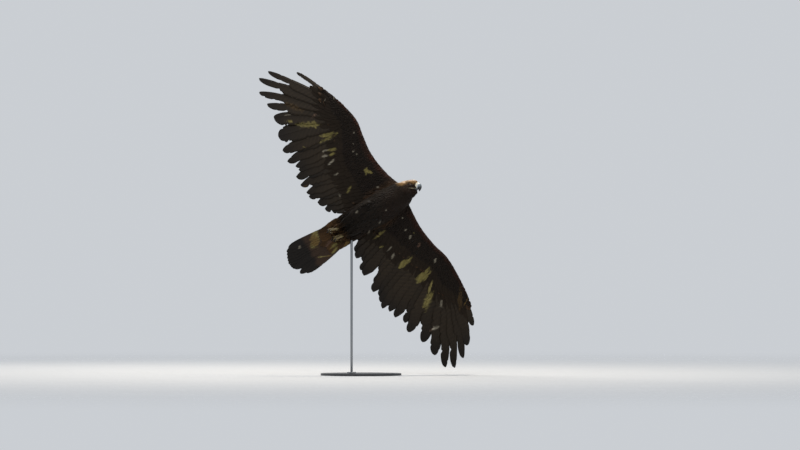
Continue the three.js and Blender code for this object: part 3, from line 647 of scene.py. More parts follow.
def painted(tones, points, middles, strokes):
    """Lays strokes over tones. A stroke is an oval from end to end. How far out a place lies is the root of
    the summed squares of its shares of the half length and the half width. Streaks that run with the feathers
    fray the edge."""
    along_feathers = points * [0.3, 0.8, 0.6]
    uneven = 0.2 * ripple(along_feathers, 15, 5) + 0.14 * ripple(along_feathers, 5, 6)
    speckle = 0.84 + 0.2 * ripple(along_feathers, 7, 8)[:, None]
    for tone, y0, x0, y1, x1, width in strokes:
        centre, way = np.array([x0 + x1, y0 + y1]) / 2, np.array([x1 - x0, y1 - y0], float)
        half_length = np.linalg.norm(way) / 2 + width * STROKE_END
        ahead = unit(way)
        share = np.zeros(len(points))
        for at, weight in ((points, SPILL), (middles, 1 - SPILL)):
            gone = at[:, :2] - centre
            along, aside = gone @ ahead, gone @ np.array([-ahead[1], ahead[0]])
            how_far = np.hypot(along / half_length, aside / (width / 2))
            share += weight * ease(*STROKE_FADE, how_far + uneven)
        tones = mix(tones, TONES[tone] * speckle, ease(*COVER, share)[:, None] * PAINT)
    return tones


print("a ripple of 50 mm at the middle of the body:", ripple(np.zeros((1, 3)), 50, 21).round(2))

# %% [markdown]
# ## One colour for every place
# The skin under a thin place in the coat must not flash through in another colour. So one function gives the
# colour of any place on the bird, and both the skin and the coat ask it. Its borders are eases over some
# millimetres, and a ripple moves the main ones about, so that none of them is a straight line.

# %% Colours of body and wings
def body_tones(points):
    """Colour of the trunk, neck and head. The back is brown and the breast nearly black. over_rim is the
    height over a line that climbs from the neck's side to the brow. Gold begins below it and covers the nape,
    with a pale band of painted highlight just above it, along the crown's top. The face is brown, with
    painted shade under the brow, and the throat dark."""
    x, y, z = points.T
    head = to_head(points)
    tones = mix(TONES["breast"], TONES["flank"], ease(55, 95, np.abs(y))[:, None])
    tones = mix(tones, TONES["back"], ease(-20, 14, z)[:, None])
    tones = mix(tones, TONES["rump"], (ease(0, 40, z) * ease(-130, -190, x))[:, None])
    tones = mix(tones, TONES["undertail"], (ease(-165, -215, x) * ease(20, -10, z))[:, None])
    near = ease(-175, -105, head[:, 0]) * ease(195, 225, x)
    level = head[:, 2] + 5 * ripple(points, 30, 3)
    over_rim = level - 18 - 0.36 * head[:, 0]
    tones = mix(tones, TONES["throat"], (ease(-120, -60, head[:, 0]) * ease(5, -20, level))[:, None])
    nape = ease(-36, -8, over_rim) * near * ease(80, 56, np.abs(y + 8))
    tones = mix(tones, TONES["gold"], nape[:, None] * 0.94)
    # painted highlight: a pale band along the crown's top edge, where the light catches it
    crown_highlight = ease(-5, 9, over_rim) * ease(26, 12, over_rim) * near * ease(78, 66, np.abs(y + 8))
    tones = mix(tones, TONES["crown"], crown_highlight[:, None])
    dorsal = ease(12, 42, z) * ease(130, 200, x) * ease(260, 240, x) * ease(70, 35, np.abs(y + 6))
    tones = mix(tones, TONES["gold"], dorsal[:, None] * 0.8)
    # the face's own brown, darkened further as painted shade below the brow ridge
    face = ease(-30, -6, head[:, 0]) * ease(14, 7, level) * ease(-60, -40, level)
    return mix(tones, TONES["face"], face[:, None] * 0.92)


def wing_tones(points, under):
    """Colour of the coverts on the arm. Below they are dark, and rusty towards the front edge. Above they are
    brown, with an uneven paler bar across the middle that fades out towards the hand. under is 1 on the lower
    face and 0 on the upper one."""
    tones = np.empty((len(points), 3))
    for wing, here, out in each_wing(points):
        share = share_of_arm(wing, points[here], 20)
        uneven = ripple(points[here], 60, 11)
        below = mix(TONES["arm"], TONES["rust"], (ease(0.22, 0.0, share) * (0.7 + 0.35 * uneven))[:, None])
        bar = ease(0.25, 0.5, share) * ease(1.05, 0.8, share) * (0.6 + 0.3 * uneven)
        bar = bar * ease(90, 150, out) * ease(720, 620, out)
        above = mix(TONES["arm_top"], TONES["top_bar"], bar[:, None] * 0.75)
        tones[here] = mix(above, below, under[here, None])
    return tones


WING_FROM = (86, 128)  # mm out, where the body's colours begin to give way to the wing's and where they end


def faces_down(normals):
    """1 on the underside, 0 on the upper side, and an ease between them over the edge."""
    return ease(0.05, -0.2, normals[:, 2])


def plumage(points, under):
    """Colour of any place on the trunk, head and arms: the body's, and past WING_FROM the wing's."""
    on_wing = ease(*WING_FROM, np.abs(points[:, 1]))[:, None]
    return mix(body_tones(points), wing_tones(points, under), on_wing)


def spotted(tones, points, middles, under):
    """The same tones with the strokes of body and wings on the underside."""
    return mix(tones, painted(tones, points, middles, WING_STROKES + BODY_STROKES), under[:, None])


breast_and_back = np.array([[100.0, 0, -80], [0, 0, 60]])
print("breast and back:", plumage(breast_and_back, np.array([1.0, 0])).round(3).tolist())

# %% [markdown]
# ## Materials, as nodes
# A feather is built of barbs: fine parallel threads of keratin that leave the shaft at a slant. They give a
# dry sheen and a faint streak. Every feather carries two maps: its own length and width in tenths of a metre,
# so that the streaks follow each feather, and its colour, which comes with the mesh. What all materials share
# is a base colour that a value makes lighter or darker, and a bump.

# %% The node helpers
NOISE, CELLS = "ShaderNodeTexNoise", "ShaderNodeTexVoronoi"


def add(tree, kind, inputs=None, **settings):
    """Adds one node, sets its settings, and links or fills its inputs."""
    node = tree.nodes.new(kind)
    for key, value in settings.items():
        setattr(node, key, value)
    for key, value in (inputs or {}).items():
        if isinstance(value, bpy.types.NodeSocket):
            tree.links.new(value, node.inputs[key])
        else:
            node.inputs[key].default_value = value
    return node


def new_material(name, **surface):
    """A material with only a Principled surface, whose constant values are set on its own sockets."""
    material = bpy.data.materials.new(name)
    material.use_nodes = True
    tree = material.node_tree
    tree.nodes.clear()
    shader = add(tree, "ShaderNodeBsdfPrincipled", surface)
    add(tree, "ShaderNodeOutputMaterial", {"Surface": shader.outputs[0]})
    return material, tree, shader


def calc(tree, operation, *values):
    """One step of arithmetic."""
    return add(tree, "ShaderNodeMath", dict(enumerate(values)), operation=operation).outputs[0]


def rescaled(tree, value, low, high, to_low, to_high, **settings):
    """value carried from the range low to high over to the range to_low to to_high."""
    sockets = dict(enumerate((value, low, high, to_low, to_high)))
    return add(tree, "ShaderNodeMapRange", sockets, **settings).outputs[0]


def place_in_room(tree):
    """The Object coordinates, which are metres in the room, because no piece is moved or turned."""
    return add(tree, "ShaderNodeTexCoord").outputs["Object"]


def tinted(tree, shader, colour, brightness):
    """Base colour: colour times brightness."""
    tint = add(tree, "ShaderNodeVectorMath", {0: colour, "Scale": brightness}, operation="SCALE")
    tree.links.new(tint.outputs[0], shader.inputs["Base Color"])


def between(tree, shader, share, low, high):
    """Base colour: from the linear colour low to the linear colour high, as share goes from 0 to 1."""
    ramp = add(tree, "ShaderNodeValToRGB", {"Fac": share})
    for stop, colour in zip(ramp.color_ramp.elements, (low, high)):
        stop.color = (*colour, 1)
    tree.links.new(ramp.outputs[0], shader.inputs["Base Color"])


def raised(tree, shader, height, strength, depth, invert=False):
    """A bump: height times depth, in metres."""
    sockets = {"Strength": strength, "Distance": depth, "Height": height}
    bump = add(tree, "ShaderNodeBump", sockets, invert=invert)
    tree.links.new(bump.outputs[0], shader.inputs["Normal"])


def grained_material(name, kind, settings, light, relief=None, **surface):
    """A surface whose colour comes with the mesh. A texture of the place in the room makes it lighter and
    darker: light holds a low and a high value of the texture and the brightness at each. relief holds the
    strength and the depth in metres of the bump that the same texture raises."""
    material, tree, shader = new_material(name, **surface)
    plume = add(tree, "ShaderNodeAttribute", attribute_name="Plume").outputs["Color"]
    grain = add(tree, kind, {"Vector": place_in_room(tree), **settings}).outputs[0]
    tinted(tree, shader, plume, rescaled(tree, grain, *light))
    if relief:
        raised(tree, shader, grain, *relief)
    return material


def finished(piece, material, slot):
    """Gives a piece its material and lets it ride on the one body. The slot is not used."""
    piece.data.materials.append(material)
    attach(piece, "root")
    return piece


print("helpers for", NOISE, "and", CELLS)

# %% [markdown]
# ## Barbed keratin
# Barbs are half a millimetre apart on a real feather. They are drawn as clumps of 1.6 and 1.0 mm, or they
# wouldn't show. The flight feathers are stiffer and shine more than the small ones.

# %% The two feather materials
BARB_SLANT, BARB_REACH = 0.8, 14  # rise of a barb for each mm across, and its length in its own widths
BAR_BEND, BAR_LIGHT = 4.0, 1.15  # how far the bars wander, in radians, and how much lighter they are


def feather_material(name, barb_mm, bar_mm, **surface):
    """Keratin barbs. The streak is a noise that is long along the barbs and short across them. Bars, where
    the colour's alpha asks for them, are a wave along the feather, made uneven by a second noise."""
    material, tree, shader = new_material(name, **surface)
    plume = add(tree, "ShaderNodeAttribute", attribute_name="Plume")
    vane = add(tree, "ShaderNodeUVMap", uv_map="Vane").outputs[0]
    parts = add(tree, "ShaderNodeSeparateXYZ", {"Vector": vane})
    across = calc(tree, "ABSOLUTE", parts.outputs[0])
    slant = calc(tree, "MULTIPLY_ADD", across, -BARB_SLANT, parts.outputs[1])
    threads = calc(tree, "MULTIPLY", slant, 100 / barb_mm)
    stretch = calc(tree, "MULTIPLY", across, 100 / (barb_mm * BARB_REACH))
    along_barb = add(tree, "ShaderNodeCombineXYZ", {0: threads, 1: stretch}).outputs[0]
    streak = add(tree, NOISE, {"Vector": along_barb, "Scale": 1.0, "Detail": 3.0}).outputs[0]
    bent = add(tree, NOISE, {"Vector": vane, "Scale": 14.0, "Detail": 4.0}).outputs[0]
    wave = calc(tree, "MULTIPLY", slant, 2 * math.pi * 100 / bar_mm)
    bars = calc(tree, "SINE", calc(tree, "MULTIPLY_ADD", bent, BAR_BEND, wave))
    barred = calc(tree, "MULTIPLY", rescaled(tree, bars, -0.1, 0.7, 0.0, 1.0), plume.outputs["Alpha"])
    light = rescaled(tree, streak, 0.3, 0.72, 0.72, 1.32)
    tinted(tree, shader, plume.outputs["Color"], calc(tree, "MULTIPLY_ADD", barred, BAR_LIGHT, light))
    raised(tree, shader, streak, 0.5, 0.0006)
    return material


FLIGHT_KERATIN = feather_material("barbed_flight_keratin", 1.6, 26, **{
    "Roughness": 0.5, "Specular IOR Level": 0.16})
CONTOUR_KERATIN = feather_material("soft_contour_keratin", 1.0, 30, **{
    "Roughness": 0.62, "Specular IOR Level": 0.1, "Sheen Weight": 0.02, "Sheen Roughness": 0.5})
print("materials:", [m.name for m in bpy.data.materials if m.name.endswith("keratin")])

# %% [markdown]
# ## The skin as a piece
# The skin stands for the fleshy solids, which stay in the model for its physics but no longer show. Where
# feathers part, it shows grey down: the colour of the coat there, darkened, with a fine noise.

# %% Colour and place the skin
def surface_normals(points, faces):
    """The unit normal of each point: the sum of the normals of the faces that meet there."""
    total = np.zeros_like(points)
    for rows in faces:
        a, b, c = points[rows[:, 0]], points[rows[:, 1]], points[rows[:, 2]]
        normal = np.cross(b - a, c - a)
        for column in rows.T:
            np.add.at(total, column, normal)
    return unit(total)


DOWNY_SKIN = grained_material("downy_skin", NOISE, {"Scale": 700.0, "Detail": 3.0}, (0.3, 0.7, 0.45, 0.85),
                              (0.6, 0.0008), Roughness=0.85)
under = faces_down(surface_normals(skin_points, skin_faces))
skin_tones = spotted(plumage(skin_points, under), skin_points, skin_points, under)
skin = finished(make_object("skin", skin_points, skin_faces, tones=skin_tones), DOWNY_SKIN, "plumage")
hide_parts("torso", "neck", "head", "leg_left", "leg_right")
skin_tree = BVHTree.FromPolygons(skin_points.tolist(), np.concatenate(skin_faces).tolist())
print("skin:", 2 * len(skin.data.polygons), "triangles")

# %% [markdown]
# ## Flight feathers
# The long feathers of wing and tail are stiff blades: a shaft, a narrow web towards the front and a wide one
# towards the back. Each overlaps the next like a slat, with its front web above its neighbour. The outer
# primaries narrow past a notch, and these are the fingers of a soaring eagle. Here each one is a grid of
# points, 60 along and 13 across, in two layers a fraction of a millimetre apart.

# %% Vanes on a sheet
WEB_STEPS = np.array([1, 0.8, 0.6, 0.4, 0.2])


def web_share(t, slot, notch=0.69, start=0.82, blunt=1.0):
    """Share of a web's full width at t: 0.45 at the quill, opening over the first third, then narrowing to
    slot at the notch. From start on it ends in a quarter of a circle where blunt is 1, and in a slant where
    it is 0."""
    slot, notch, start, blunt = (np.reshape(v, (-1, 1)) for v in (slot, notch, start, blunt))
    opened = mix(0.45, 1, ease(0, 0.3, t))
    slotted = mix(1, slot, ease(notch - 0.07, notch + 0.1, t))
    past = np.clip((t - start) / (1 - start), 0, 1)
    end = mix(1 - past ** 1.2, np.sqrt(1 - past * past), blunt)
    return opened * slotted * np.maximum(end, 0.05)


def split_edges(t, count, random, splits, depth):
    """Where barbs have come unhooked, the edge jumps in and runs out again. For each split the web loses
    depth at its start, and less and less over the next twentieth of the length."""
    loss = np.zeros((count, len(t)))
    for _ in range(splits):
        start = random.uniform(0.3, 0.93, count)[:, None]
        size = random.uniform(0.2, 1, count)[:, None] ** 2 * depth
        after = (t - start) / 0.045
        loss = np.maximum(loss, np.where((after > 0) & (after < 1), size * (1 - after), 0))
    return 1 - loss


def sheet_vanes(place, root, tip, bend, outer, inner, lift, pitch, shaft, thick, t):
    """Blades on a curved sheet. A blade's middle line runs from root to tip with its middle moved bend
    sideways. Its points are reach to the side of that line, at the height lift plus pitch times reach, and
    the shaft stands out of both faces. outer, inner and lift hold a value for each blade and step, or the
    same for all blades, and bend, pitch and shaft one for each blade, or for all. Returns points, as blade,
    layer, row and column, and a map of the two lengths in tenths of a metre."""
    outer, inner, lift = (np.broadcast_to(v, (len(root), len(t))) for v in (outer, inner, lift))
    bend, pitch, shaft = (np.broadcast_to(v, len(root)) for v in (bend, pitch, shaft))
    chord = tip - root
    length = np.linalg.norm(chord, axis=-1)
    side = np.stack([-chord[:, 1], chord[:, 0]], -1) / length[:, None]
    middle = (root + tip) / 2 + side * bend[:, None]
    t = t[None, :, None]
    curve = (1 - t) ** 2 * root[:, None] + 2 * t * (1 - t) * middle[:, None] + t * t * tip[:, None]
    ahead = unit(2 * (1 - t) * (middle - root)[:, None] + 2 * t * (tip - middle)[:, None])
    across = np.stack([-ahead[..., 1], ahead[..., 0]], -1)
    rib = shaft[:, None] * (1 - 0.8 * t[..., 0])
    webs = [outer[..., None] * WEB_STEPS, np.stack([rib, 0 * rib, -rib], -1)]
    reach = np.concatenate([*webs, -inner[..., None] * WEB_STEPS[::-1]], -1)
    spot = curve[:, :, None] + reach[..., None] * across[:, :, None]
    ridge = np.zeros(reach.shape[-1])
    n = len(WEB_STEPS)
    ridge[n:n + 3] = [0.5, 1, 0.5]
    edge = np.r_[WEB_STEPS, 0, 0, 0, WEB_STEPS[::-1]]
    half = thick / 2 * (1 - 0.55 * edge) + rib[..., None] * 0.8 * ridge
    level = lift[..., None] + pitch[:, None, None] * reach
    faces_at = [place(spot[..., 0], spot[..., 1], level + sign * half) for sign in (1, -1)]
    points = np.stack(faces_at, 1)
    lengths = np.broadcast_to(t * length[:, None, None], reach.shape)
    ruler = np.stack([reach, lengths], -1) / 100
    return points, np.stack([ruler, ruler], 1)


print("a web's share half way out:", web_share(np.array([0.5]), 0.6).round(2))

# %% [markdown]
# ## From points to a mesh of blades
# A blade is two layers of points, so its faces are those of both layers and of the rim that joins them. They
# follow from the counts alone. Each blade also gets a strip of its own on a second map, for baking.

# %% Faces and maps of blades
def vane_faces(count, rows, columns):
    """Faces of count blades of two layers of rows x columns points: both layers, and the rim between them."""
    i, j = np.meshgrid(np.arange(rows - 1), np.arange(columns - 1), indexing="ij")
    a = (i * columns + j).ravel()
    top = np.stack([a, a + 1, a + columns + 1, a + columns], -1)
    under = rows * columns
    rim = np.concatenate([
        np.arange(columns), np.arange(1, rows) * columns + columns - 1,
        (rows - 1) * columns + np.arange(columns - 2, -1, -1), np.arange(rows - 2, 0, -1) * columns,
    ])
    following = np.roll(rim, -1)
    wall = np.stack([rim, rim + under, following + under, following], -1)
    faces = np.concatenate([top, top[:, ::-1] + under, wall])
    return [(faces + np.arange(count)[:, None, None] * 2 * under).reshape(-1, 4)]


def outward(points, faces):
    """The same faces, turned round if they enclose a negative volume."""
    volume = 0.0
    for rows in faces:
        a = points[rows[:, 0]]
        for k in range(1, rows.shape[1] - 1):
            volume += np.einsum("ij,ij->", a, np.cross(points[rows[:, k]], points[rows[:, k + 1]]))
    return faces if volume > 0 else [rows[:, ::-1] for rows in faces]


def cell_map(count, rows, columns):
    """One strip of the map for each blade, side by side, its upper face in the top half and its lower face
    in the bottom half. The strips come from the blades' own shape, laid flat."""
    u = (np.arange(count)[:, None] + np.linspace(0.06, 0.94, columns)) / count
    v = np.linspace(0.01, 0.49, rows)
    grid = np.stack(np.broadcast_arrays(u[:, None, :], v[None, :, None]), -1)
    return np.stack([grid + [0, 0.5], grid], 1)


def blade_piece(name, points, ruler, tones, material, slot):
    """The finished piece of all the blades in points, with a colour for each point."""
    count, _, rows, columns = points.shape[:4]
    flat = points.reshape(-1, 3)
    faces = outward(flat, vane_faces(count, rows, columns))
    maps = {"Vane": ruler.reshape(-1, 2), "OFBake": cell_map(count, rows, columns).reshape(-1, 2)}
    return finished(make_object(name, flat, faces, maps, tones.reshape(len(flat), -1)), material, slot)


print("faces of one blade of 60 x 13 points:", len(vane_faces(1, 60, 13)[0]))

# %% [markdown]
# ## The two fans of the wings
# A wing has thirteen visible secondaries on the forearm and ten primaries on the hand. Beside the body a few
# short ones close the gap. A secondary's front web slants back to its tip and its rear web ends square, which
# gives the rear edge its teeth.

# %% Flight feathers of both wings
FLIGHT_T = np.r_[np.linspace(0, 0.8, 40), np.linspace(0.815, 1, 20)]
INNER_WEBS = np.array([44, 46, 50, 56, 56, 54, 52, 50, 46, 30.0])
NOTCHES = np.array([0.74, 0.74, 0.76, 0.76, 0.7, 0.67, 0.64, 0.66, 0.62, 0.45])
FRONT_SLOTS = [1, 1, 1, 1, 0.85, 0.62, 0.6, 0.6, 1, 1]  # what the notch leaves of each primary's front web
INBOARD = 3  # short feathers between wing and body


def quill_tones(points):
    """Colour along each blade: darker at the tip, an uneven value for each blade, and the strokes on its
    lower face. The fourth number asks for bars, which fade out before the dark tip."""
    t = np.linspace(0, 1, points.shape[2])[None, None, :, None, None]
    random = np.random.default_rng(77)
    own = random.uniform(0.84, 1.2, (len(points), 1, 1, 1, 1))
    tones = mix(TONES["quill"], TONES["quill_tip"], ease(0.45, 0.95, t)) * own * np.ones(points.shape)
    shaft = np.broadcast_to(points[:, :, :, points.shape[3] // 2][:, :, :, None], points.shape)
    marked = painted(tones.reshape(-1, 3), points.reshape(-1, 3), shaft.reshape(-1, 3), WING_STROKES)
    tones[:, 1] = marked.reshape(points.shape)[:, 1]
    bars = 0.28 * ease(0.85, 0.3, t) * np.ones((*points.shape[:-1], 1))
    return np.concatenate([tones, bars], -1)


def flight_feathers(name):
    """One wing's fan. The values of the inboard feathers come first, then those of secondaries and primaries.
    finger is 0 on a blunt feather and 1 on a fully round one."""
    wing = WINGS[name]
    random = np.random.default_rng(100 + wing["side"])
    k = np.arange(SECONDARIES + PRIMARIES)
    root, tip = flight_line(wing, k)
    inboard = np.arange(1, INBOARD + 1)[:, None]
    root = np.concatenate([(root[0] - inboard * [13, -4])[::-1], root])
    tip = np.concatenate([(tip[0] + [0, 14] + inboard * [-13, 24])[::-1], tip])
    count = len(root)
    primary, is_primary = np.maximum(k - SECONDARIES, 0), k >= SECONDARIES
    slim, webs = np.array(wing["slim"])[primary], np.array(wing["webs"])[primary]
    own_slot, own_notch = random.uniform(0.5, 0.85, len(k)), random.uniform(0.74, 0.84, len(k))
    slot = np.r_[[0.7] * INBOARD, np.where(is_primary, slim, own_slot)]
    notch = np.r_[[0.75] * INBOARD, np.where(is_primary, NOTCHES[primary], own_notch)]
    outer = np.r_[[20.0] * INBOARD, np.where(is_primary, webs, 22.0)]
    inner = np.r_[[30.0] * INBOARD, np.where(is_primary, INNER_WEBS[primary], 42.0)]
    bend = np.r_[[4.0] * INBOARD, np.where(k < SECONDARIES + 4, 5.0, 12.0)]
    finger = np.r_[[0.0] * INBOARD, ease(-1, 3, k - SECONDARIES)]
    front_slot = np.r_[[1.0] * (INBOARD + SECONDARIES), FRONT_SLOTS]
    shares = [web_share(FLIGHT_T, part, notch, start, blunt) * split_edges(FLIGHT_T, count, random, 6, 0.34)
              for part, start, blunt in ((front_slot, 0.82, mix(0.3, 1, finger)),
                                         (slot, mix(0.9, 0.82, finger), 1.0))]
    lift = 0.7 * np.sin(FLIGHT_T * 5 + random.uniform(0, 6, (count, 1)))
    pitch = FLIGHT_PITCH * random.uniform(0.9, 1.1, count)
    shaft = np.where(np.arange(count) < INBOARD + SECONDARIES, 1.9, 2.6)
    points, ruler = sheet_vanes(
        lambda *spot: place_on_wing(wing, *spot), root, tip, bend, outer[:, None] * shares[0],
        inner[:, None] * shares[1], lift, pitch, shaft, 0.75, FLIGHT_T)
    tones = quill_tones(points)
    piece = blade_piece(f"flight_feathers_{name}", points, ruler, tones, FLIGHT_KERATIN, "flight")
    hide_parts(f"wing_{name}_inner", f"wing_{name}_outer")
    return piece


for name in WINGS:
    print(name, "flight feathers:", 2 * len(flight_feathers(name).data.polygons), "triangles")

# %% [markdown]
# ## Rows of coverts
# Where the quills enter the wing they are roofed over, on both faces, by rows of shorter feathers: greater
# coverts over the quills, median coverts over the roots of those. They lie in even rows like tiles, so each
# row is made in one go, from the row's own spacing, length and width.

# %% Greater and median coverts, and the thumb feathers
COVERT_T = np.r_[np.linspace(0, 0.7, 9), 0.8, 0.88, 0.95, 1]
COVERT_THICK = 0.6
ROW_START, ROW_END = 84, 30  # mm out where a row begins, and how far before the end of the hand it stops
# A row: how many feathers, how far their roots lie ahead of the arm's rear edge, how far they reach past it,
# half their width, and the height of their roots and tips over the sheet
COVERT_ROWS = [
    dict(count=27, ahead=34, reach=84, half=21, root=6.5, tip=3.4),
    dict(count=30, ahead=62, reach=34, half=18, root=10.5, tip=7.0),
    dict(count=34, ahead=88, reach=-4, half=16, root=14.0, tip=10.5),
]


def covert_share(t, pointed=0.0):
    """Share of a covert's width at t: full at half way, and closed in an oval end."""
    past = np.clip((t - 0.55) / 0.45, 0, 1)
    return mix(0.55, 1, ease(0, 0.5, t)) * np.sqrt(np.maximum(1 - past ** (2.4 - pointed), 0.0025))


def covert_row(name, face, row, random):
    """One row on one face of a wing: blades from ahead of the arm's rear edge to past it, in the direction
    of the quills that they cover."""
    wing = WINGS[name]
    out = np.linspace(ROW_START, wing["hand"] - ROW_END, row["count"]) + random.uniform(-3, 3, row["count"])
    share = (out - out[0]) / (out[-1] - out[0])
    aim = feather_aim(wing, out)
    rear = np.stack([out, wing["rear"](out)[:, 0]], -1)
    slim = mix(1.0, 0.62, ease(0.8, 1, share))
    root = rear - aim * (row["ahead"] * mix(1, 0.6, ease(0.75, 1, share)))[:, None]
    tip = rear + aim * (row["reach"] + random.uniform(-9, 9, row["count"]))[:, None]
    web = covert_share(COVERT_T)[None] * split_edges(COVERT_T, row["count"], random, 1, 0.2)
    lift = face * mix(row["root"], row["tip"], COVERT_T)[None] * mix(1, 0.55, share)[:, None]
    return sheet_vanes(
        lambda *spot: place_on_wing(wing, *spot), root, tip, random.uniform(0, 5, row["count"]),
        (row["half"] * 0.85 * slim)[:, None] * web, (row["half"] * 1.15 * slim)[:, None] * web, lift,
        FLIGHT_PITCH * 0.7, 0.8, COVERT_THICK, COVERT_T)


def thumb_feathers(name):
    """The alula: four stiff feathers on the thumb, along the front edge of the hand on its upper side."""
    wing = WINGS[name]
    out = np.linspace(520, 552, 4) - (0 if wing["side"] > 0 else 60)
    front = wing["lead"](out)[:, 0]
    root = np.stack([out, front - [10, 15, 20, 25]], -1)
    far = out + np.array([150, 130, 108, 85]) * 0.97
    tip = np.stack([far, wing["lead"](np.minimum(far, 745))[:, 0] - [14, 22, 30, 38]], -1)
    web = covert_share(COVERT_T, 0.8)
    return sheet_vanes(lambda *spot: place_on_wing(wing, *spot), root, tip, 6.0, 6 * web, 15 * web,
                       mix(13, 9, COVERT_T), 0.12, 1.4, COVERT_THICK, COVERT_T)


def stacked(made):
    """Several pairs of points and map as one pair."""
    return [np.concatenate(part) for part in zip(*made)]


def feather_middles(points):
    """The middle of each blade, repeated for all of its points."""
    rows, columns = points.shape[2:4]
    return np.broadcast_to(points[:, :1, rows // 2, None, columns // 2, None], points.shape).reshape(-1, 3)


def wing_coverts(name, face):
    """All the rows of one face of one wing as one piece. face is 1 above and -1 below. Below, the coverts
    take on nearly half of the quills' own tone, and the strokes."""
    random = np.random.default_rng(300 + 10 * WINGS[name]["side"] + face)
    made = [covert_row(name, face, row, random) for row in COVERT_ROWS]
    if face > 0:
        made.append(thumb_feathers(name))
    points, ruler = stacked(made)
    centre = feather_middles(points)
    tones = wing_tones(centre, np.full(len(centre), float(face < 0))).reshape(points.shape)
    own = random.uniform(0.78, 1.25, (len(points), 1, 1, 1, 1))
    # painted shade: each covert darker towards its root, under the row above it, and paler at its tip
    root_shade_and_pale_tip = mix(0.8, 1.15, ease(0.2, 1, COVERT_T))[None, None, :, None, None]
    tones = (tones * own * root_shade_and_pale_tip).reshape(-1, 3)
    if face < 0:
        tones = painted(mix(tones, TONES["quill"], 0.45), points.reshape(-1, 3), centre, WING_STROKES)
    side = "above" if face > 0 else "below"
    return blade_piece(f"coverts_{name}_{side}", points, ruler, tones, CONTOUR_KERATIN, "flight")


for name in WINGS:
    for face in (1, -1):
        piece = wing_coverts(name, face)
        print(piece.name, 2 * len(piece.data.polygons), "triangles")

# %% [markdown]
# ## The tail
# Twelve feathers in two halves, one slid over the other: the left half sits a little higher, and this leaves
# the step that shows in the tail's edge. Over their roots lie soft coverts, tawny below and brown above. The
# end of the tail is a broad dark band.

# %% Tail feathers and their coverts
TAIL_HEIGHT, LEFT_HALF_UP = 8, 4.5
TAIL_TIPS = {
    1: [(7, -554), (18, -553), (29, -549), (38, -540), (76, -527), (90, -496)],
    -1: [(6, -556), (20, -552), (35, -547), (51, -539), (67, -531), (80, -512)],
}
TAIL_COVERT_ROWS = [
    dict(face=-1, count=6, start=-196, end=-342, spread=12.5, height=11.0, half=15),
    dict(face=-1, count=6, start=-186, end=-296, spread=13.5, height=13.0, half=15),
    dict(face=-1, count=6, start=-172, end=-252, spread=14.0, height=15.5, half=14),
    dict(face=1, count=6, start=-190, end=-312, spread=13.0, height=13.0, half=15),
    dict(face=1, count=6, start=-178, end=-262, spread=14.0, height=16.0, half=14),
]


def place_on_tail(side, extra):
    """The tail's sheet: its middle line runs slightly to the left, and it falls away with the square of the
    distance to the side."""
    def place(out, forward, height):
        """A place height over the sheet, in the bird's frame."""
        middle = mix(3, 11, (-185 - forward) / 365)
        return np.stack([forward, middle + side * out, TAIL_HEIGHT + extra - 0.0007 * out ** 2 + height], -1)
    return place


def tail_tones(points, middles, face):
    """Brown at the root and dark at the end, with a border made uneven by a noise of 50 mm.
    Below, the tail's strokes are laid over it.
    """
    edge = points[:, 0] + 8 * ripple(points, 50, 21)
    tones = mix(TONES["tail_brown"], TONES["tail_dark"], ease(-395, -432, edge)[:, None])
    return painted(tones, points, middles, TAIL_STROKES) if face < 0 else tones


def facing(side, grids):
    """Points and map of the left half as they are. The right half is its mirror image, so both are read from
    the other edge."""
    return grids if side > 0 else [grid[..., ::-1, :] for grid in grids]


def tail_piece():
    """Both halves' feathers in one piece."""
    made, random = [], np.random.default_rng(501)
    for side, tips in TAIL_TIPS.items():
        number = np.arange(len(tips))
        root = np.stack([4 + number * 7.2, np.full(len(tips), -188.0)], -1)
        bow = 3.0 + number * (3.6 if side > 0 else 1.2)
        web = [web_share(FLIGHT_T, np.ones(6)) * split_edges(FLIGHT_T, 6, random, 3, 0.12) for _ in range(2)]
        made.append(facing(side, sheet_vanes(
            place_on_tail(side, LEFT_HALF_UP if side > 0 else 0), root, np.array(tips, float), bow,
            20 * web[0], 24 * web[1], -1.5 * number[:, None], 0.07, 1.9, 0.7, FLIGHT_T)))
    points, ruler = stacked(made)
    columns = points.shape[3]
    flat = points.reshape(-1, 3)
    centre = np.broadcast_to(points[:, :, :, None, columns // 2], points.shape).reshape(-1, 3)
    own = random.uniform(0.86, 1.16, (len(points), 1, 1, 1, 1))
    above = tail_tones(flat, centre, 1).reshape(points.shape) * own
    below = tail_tones(flat, centre, -1).reshape(points.shape)
    tones = np.concatenate([above[:, :1], below[:, 1:]], 1)
    piece = blade_piece("tail_feathers", points, ruler, tones, FLIGHT_KERATIN, "flight")
    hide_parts("tail")
    return piece


